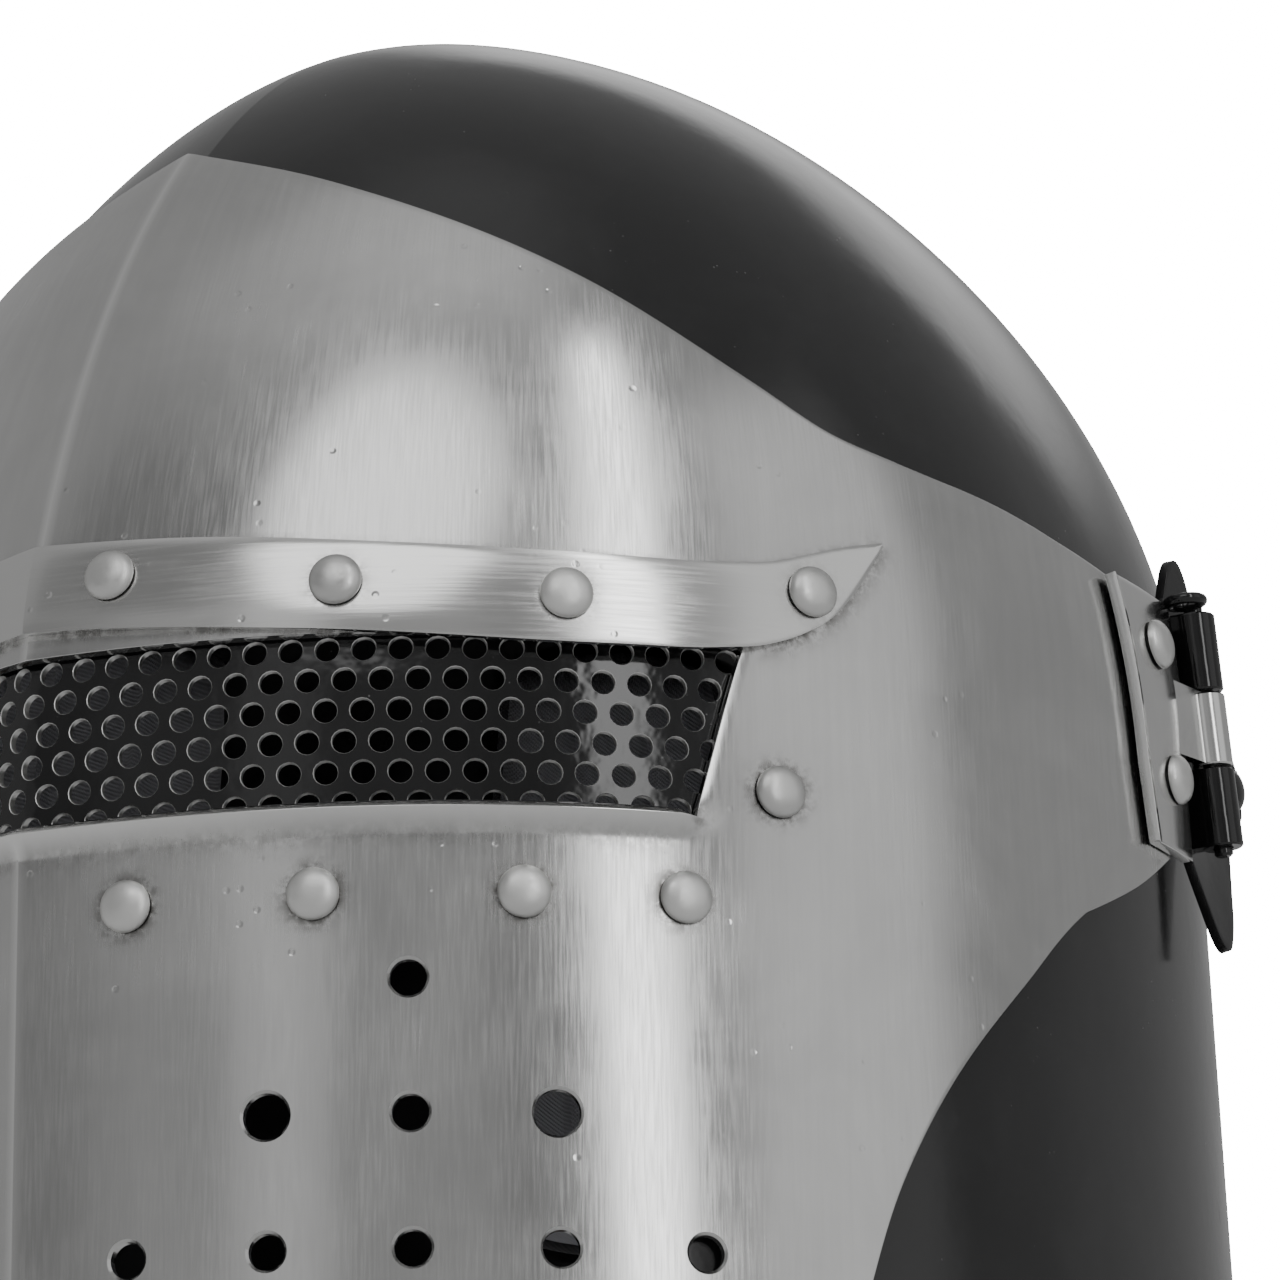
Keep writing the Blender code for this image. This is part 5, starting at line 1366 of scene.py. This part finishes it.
def fine_pads(cloth, piping):
    for name, first, last, low, high in PADS:
        def place_at(u, v, out, first=first, last=last, low=low, high=high):
            z = EYE_HEIGHT + (low + high) / 2 + v * (high - low) / 2
            return off_skull((first + last) / 2 + u * (last - first) / 2, z, out)
        pad_body(name + "_soft", place_at, cloth, piping, [name])

    def crown_at(u, v, out):
        x = u * math.sqrt(1 - v * v / 2) * CROWN_PAD_RADIUS
        y = v * math.sqrt(1 - u * u / 2) * CROWN_PAD_RADIUS
        return under_dome(x, y, out)
    pad_body("crown_pad_soft", crown_at, cloth, piping, ["crown_pad"])


def strip(name, frames, width, thickness):
    """Leather with rounded edges through a list of frames (X along, Y across, Z up)."""
    half, edge = thickness / 2, thickness / 2
    section = []
    for cx, first in ((width / 2 - edge, -90), (edge - width / 2, 90)):
        for turn in range(0, 181, 30):
            angle = math.radians(first + turn)
            section.append((cx + edge * math.cos(angle), half * math.sin(angle)))
    count = len(section)
    points = [frame @ Vector((0, y, z)) for frame in frames for y, z in section]
    faces = tube_faces(len(frames), count, closed=False)
    last = (len(frames) - 1) * count
    faces += [tuple(range(count)), tuple(range(last + count - 1, last - 1, -1))]
    made = object_from(name, points, faces)
    work = bmesh.new()
    work.from_mesh(made.data)
    bmesh.ops.recalc_face_normals(work, faces=work.faces)
    work.to_mesh(made.data)
    work.free()
    return made


def lifted(frame, lift, slope=0.0):
    """A strap frame raised by lift and tilted by slope along the strap."""
    return frame @ Matrix.Translation((0, 0, lift)) @ Matrix.Rotation(-math.atan(slope), 4, "Y")


def stitches(name, frames, sides, thread):
    """Saddle stitches along a strap's edges, on both faces."""
    pieces = []
    for frame in frames:
        for y in sides:
            for face in (1, -1):
                middle = frame @ Vector((0, y, face * (STRAP_THICKNESS / 2 + 0.0001)))
                along = (frame @ Vector((1, 0.10, 0)) - frame @ Vector((0, 0, 0))).normalized()
                place = frame_at(middle, along, frame.col[2].xyz)
                pieces.append(turned("stitch", STITCH_PROFILE, 8, place))
    made = joined(name, pieces)
    return dressed(made, thread, "leather", "skull")


def cross_hole(distance):
    """A round hole through the strap's tail."""
    frame = strap_frame(distance)
    return rod("hole", frame.translation, frame.col[2].xyz, 0.0018, 0.001, 0.012, 20)


def anchor_hole(strap, side):
    point, normal = strap_anchor(side)
    boolean(strap, rod("anchor_hole", point, -normal, RIVET_SHANK / 2 + 2 * FIT_GAP, 0.0, 0.02))


def short_half(leather, bar):
    """The buckle's half of the strap, which wraps round the buckle's bar."""
    turn_radius = BUCKLE_WIRE + FIT_GAP + WRAP_INSET
    start = BUCKLE_AT - WRAP_RISE
    frames = [strap_frame(s) for s in np.arange(0, start, STRAP_STEP)]
    for i, t in enumerate(np.linspace(0, 1, 10)):
        rise = Matrix.Translation((0, 0, turn_radius * (3 * t * t - 2 * t**3)))
        frames.append(strap_frame(start + STRAP_STEP * i) @ rise)
    for angle in range(80, -91, -10):
        turn = math.radians(angle)
        at = Matrix.Translation((turn_radius * math.cos(turn), 0, turn_radius * math.sin(turn)))
        frames.append(bar @ at @ Matrix.Rotation(math.radians(90 - angle), 4, "Y"))
    strap = strip("chin_strap_left_leather", frames, STRAP_WIDTH, STRAP_THICKNESS * WRAP_THINNING)
    loop_radius = BUCKLE_WIRE + FIT_GAP + LOOP_WALL
    boolean(strap, block("loop_notch", (-loop_radius - 0.004, -NOTCH_ROOM, -0.01),
                         (loop_radius + 0.001, NOTCH_ROOM, 0.01), bar))
    anchor_hole(strap, 1)
    dressed(strap, leather, "leather", "skull", "chin_strap_left", angle=50)


def long_half(leather, bar):
    """The other half, which rises over the bar, dips under the frame's far side and lies flat again."""
    half = STRAP_THICKNESS / 2
    under = -(BUCKLE_WIRE + FIT_GAP + half)
    over = BUCKLE_WIRE + FIT_GAP + LOOP_WALL + FIT_GAP + half
    beside = STRAP_THICKNESS + FIT_GAP
    near, far = BUCKLE_AT, BUCKLE_AT + BUCKLE_OPENING
    lift = ((near - 0.010, beside), (near - 0.005, over - 0.0008), (near, over + 0.0004),
            (near + 0.0030, over - 0.001), (far - 0.0035, under + 0.0008), (far, under - 0.0002),
            (far + 0.004, under), (far + 0.024, 0.0))
    frames = []
    for s in np.arange(near - STRAP_TAIL_LENGTH, float(route_lengths()[-1]), 0.0008):
        slope = (through(lift, s + 0.0004) - through(lift, s - 0.0004)) / 0.0008
        frames.append(lifted(strap_frame(s), through(lift, s), slope))
    strap = strip("chin_strap_right_leather", frames, STRAP_WIDTH, STRAP_THICKNESS)
    holes = [block("prong_hole", (PRONG_HOLE[0], -NOTCH_ROOM, -0.0015),
                   (PRONG_HOLE[1], NOTCH_ROOM, 0.0085), bar)]
    holes += [cross_hole(s) for s in (near - 0.010, near - 0.022)]
    boolean(strap, joined("strap_holes", holes))
    anchor_hole(strap, -1)
    dressed(strap, leather, "leather", "skull", "chin_strap_right", angle=50)


def strap_stitching(thread):
    inset = STRAP_WIDTH / 2 - STITCH_INSET
    first, last = BUCKLE_AT + BUCKLE_OPENING + 0.028, float(route_lengths()[-1]) - 0.004
    frames = [strap_frame(s) for s in np.arange(first, last, STITCH_PITCH)]
    stitches("chin_strap_right_stitching", frames, (inset, -inset), thread)
    thinner = Matrix.Diagonal((1, 1, WRAP_THINNING, 1))
    stations = np.arange(0.004, BUCKLE_AT - STRAP_TAIL_LENGTH - 0.002, STITCH_PITCH)
    frames = [strap_frame(s) @ thinner for s in stations]
    stitches("chin_strap_left_stitching", frames, (inset, -inset), thread)


def strap_rivets(plated):
    depth = SHEET + STRAP_CLEAR_OF_SKULL + STRAP_THICKNESS + FIT_GAP + STRAP_RIVET_ROOM
    for side, word in ((1, "left"), (-1, "right")):
        point, normal = strap_anchor(side)
        profile = [(RIVET_SHANK / 2, FIT_GAP), (RIVET_SHANK / 2, depth)]
        profile += dome_profile(RIVET_HEAD / 2, depth, STRAP_RIVET_HEIGHT)
        place = frame_at(point, -normal, Vector((0, 0, 1)))
        dressed(turned(f"strap_rivet_{word}_fine", profile, 32, place), plated, "plated_steel", "skull",
                f"strap_rivet_{word}")


def fine_buckle(plated, bar):
    frame = buckle_frame("buckle_frame_fine", bar)
    softened(frame, 2)
    baked(frame)
    dressed(frame, plated, "plated_steel", "skull", "buckle_frame")
    low = BUCKLE_WIRE + FIT_GAP
    prong = cross_rod("buckle_prong_fine", bar, low + PRONG_WALL, PRONG_WIDTH, 32)
    tip = block("prong_tip", (0.0, -PRONG_WIDTH / 2, low),
                (BUCKLE_OPENING + PRONG_PAST_BAR, PRONG_WIDTH / 2, low + PRONG_THICKNESS), bar)
    rounded_edges(tip, PLATE_EDGE_ROUND)
    boolean(prong, tip, "UNION")
    boolean(prong, cross_rod("prong_bore", bar, low, 0.02, 32))
    dressed(prong, plated, "plated_steel", "prong", "buckle_prong")


def fine_straps(leather, thread, plated):
    bar = strap_frame(BUCKLE_AT)
    short_half(leather, bar)
    long_half(leather, bar)
    strap_stitching(thread)
    strap_rivets(plated)
    fine_buckle(plated, bar)


# ---- light, floor and camera

def world_light():
    """A pale studio: an even field with round soft boxes, a tall strip light and darker lanes."""
    world = bpy.data.worlds.new("studio")
    bpy.context.scene.world = world
    n = Nodes(world)
    n.tree.nodes.clear()
    way = n.add("ShaderNodeTexCoord").outputs["Generated"]
    split = n.add("ShaderNodeSeparateXYZ")
    n.put(split.inputs[0], way)
    turn = n.math("ARCTAN2", split.outputs[0], n.math("MULTIPLY", split.outputs[1], -1.0))
    round_way = n.math("MULTIPLY", turn, DEGREES_PER_RADIAN)
    up = n.math("MULTIPLY", n.math("ARCSINE", split.outputs[2]), DEGREES_PER_RADIAN)

    def lobe(azimuth, elevation, half_wide, half_high, soft, strength):
        """A soft-edged rectangle of light seen round the object."""
        apart = n.math("ABSOLUTE", n.math("SUBTRACT", round_way, azimuth))
        apart = n.math("MINIMUM", apart, n.math("SUBTRACT", 360.0, apart))
        wide = n.ramp(apart, half_wide - soft, half_wide + soft, 1.0, 0.0)
        rise = n.math("ABSOLUTE", n.math("SUBTRACT", up, elevation))
        high = n.ramp(rise, half_high - soft, half_high + soft, 1.0, 0.0)
        return n.math("MULTIPLY", n.math("MULTIPLY", wide, high), strength)

    def disc(azimuth, elevation, radius, soft, strength):
        a, e = math.radians(azimuth), math.radians(elevation)
        node = n.add("ShaderNodeVectorMath", operation="DOT_PRODUCT")
        n.put(node.inputs[0], way)
        node.inputs[1].default_value = (math.sin(a) * math.cos(e), -math.cos(a) * math.cos(e), math.sin(e))
        angle = n.math("MULTIPLY", n.math("ARCCOSINE", node.outputs["Value"]), DEGREES_PER_RADIAN)
        return n.math("MULTIPLY", n.ramp(angle, radius - soft, radius + soft, 1.0, 0.0), strength)

    total = n.ramp(up, -60.0, 20.0, FIELD_BELOW, FIELD_ABOVE)
    for light in [lobe(*lamp) for lamp in LAMPS] + [disc(*lamp) for lamp in DISCS]:
        total = n.math("ADD", total, light)
    total = n.math("MAXIMUM", total, LEAST_LIGHT)
    backgrounds = []
    for strength in (total, BACKGROUND_STRENGTH):
        background = n.add("ShaderNodeBackground")
        n.put(background.inputs["Color"], (1, 1, 1, 1))
        n.put(background.inputs["Strength"], strength)
        backgrounds.append(background.outputs[0])
    choose = n.add("ShaderNodeMixShader")
    n.put(choose.inputs[0], n.add("ShaderNodeLightPath").outputs["Is Camera Ray"])
    n.put(choose.inputs[1], backgrounds[0])
    n.put(choose.inputs[2], backgrounds[1])
    n.put(n.add("ShaderNodeOutputWorld").inputs["Surface"], choose.outputs[0])


def floor_and_camera():
    bpy.ops.mesh.primitive_plane_add(size=FLOOR_SIZE, location=(0, 0, FLOOR_Z))
    floor = bpy.context.object
    floor.name = "floor"
    n = Nodes(bpy.data.materials.new("pale_floor"))
    floor.data.materials.append(n.done(Base_Color=(0.86, 0.86, 0.86, 1), Roughness=0.9))
    data = bpy.data.cameras.new("camera")
    camera = new_object("camera", data)
    a, e = math.radians(CAMERA_AZIMUTH), math.radians(CAMERA_ELEVATION)
    back = Vector((math.sin(a) * math.cos(e), -math.cos(a) * math.cos(e), math.sin(e)))
    target = Vector((0.0, widest_line() - 0.0025, EYE_HEIGHT))
    camera.location = target + back * CAMERA_DISTANCE
    camera.rotation_euler = back.to_track_quat("Z", "Y").to_euler()
    data.sensor_width = 36.0
    data.lens = CAMERA_LENS
    data.shift_x, data.shift_y = CAMERA_SHIFT
    data.clip_start = 0.01
    bpy.context.scene.camera = camera


def main():
    for old in list(bpy.data.objects):
        bpy.data.objects.remove(old)
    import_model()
    black = gloss_paint("gloss_black", (0.0105, 0.0105, 0.0108), 0.13)
    blackened = gloss_paint("blackened_gloss", (0.0065, 0.0065, 0.0067), 0.07, 0.00009)
    steel = steel_paint("satin_steel_fine", (0.62, 0.62, 0.612), (0.54, 0.54, 0.535), 2600.0, 90.0, 0.19,
                        grain_depth=0.000007)
    band_steel = steel_paint("band_steel", (0.60, 0.60, 0.59), (0.50, 0.50, 0.49), 60.0, 1800.0, 0.27)
    rivet_metal = steel_paint("rivet_steel", (0.74, 0.74, 0.725), (0.60, 0.60, 0.59), 900.0, 900.0, 0.40,
                              with_soil_shade_polish_highlight=False, grain_depth=0.00004)
    plated = plain_paint("plated", (0.62, 0.61, 0.58), 0.28, 1.0)
    leather = leather_paint("leather_brown")
    thread = plain_paint("waxed_thread", (0.42, 0.36, 0.26), 0.7, 0.0, 2400.0, 0.0001)
    cloth = cloth_paint("pad_cover", (0.42, 0.42, 0.45), (0.29, 0.29, 0.31))
    piping = cloth_paint("pad_piping", (0.060, 0.060, 0.064), (0.030, 0.030, 0.032))

    fine_skull(black)
    places = rivet_places()
    places += [("leaf_hole", side * a, z, 0.0) for a, z in leaf_rivets() for side in (1, -1)]
    rods = [rod("hole", off_skull(a, z, MASK_GAP), outward(a, z), RIVET_SHANK / 2 + FIT_GAP, 0.006, 0.008, 24)
            for _, a, z, _ in places]
    holes = joined("rivet_holes", rods)
    fine_mask(steel, holes)
    fine_band(band_steel, holes)
    fine_grille(blackened, rivet_metal)
    fine_rivets(rivet_metal)
    fine_leaves(steel, holes)
    bpy.data.objects.remove(holes)
    fine_arms(blackened)
    fine_pins(blackened)
    for word, side in (("left", 1), ("right", -1)):
        fine_pivot(word, side, blackened, plated)
    fine_pads(cloth, piping)
    fine_straps(leather, thread, plated)
    world_light()
    floor_and_camera()


main()
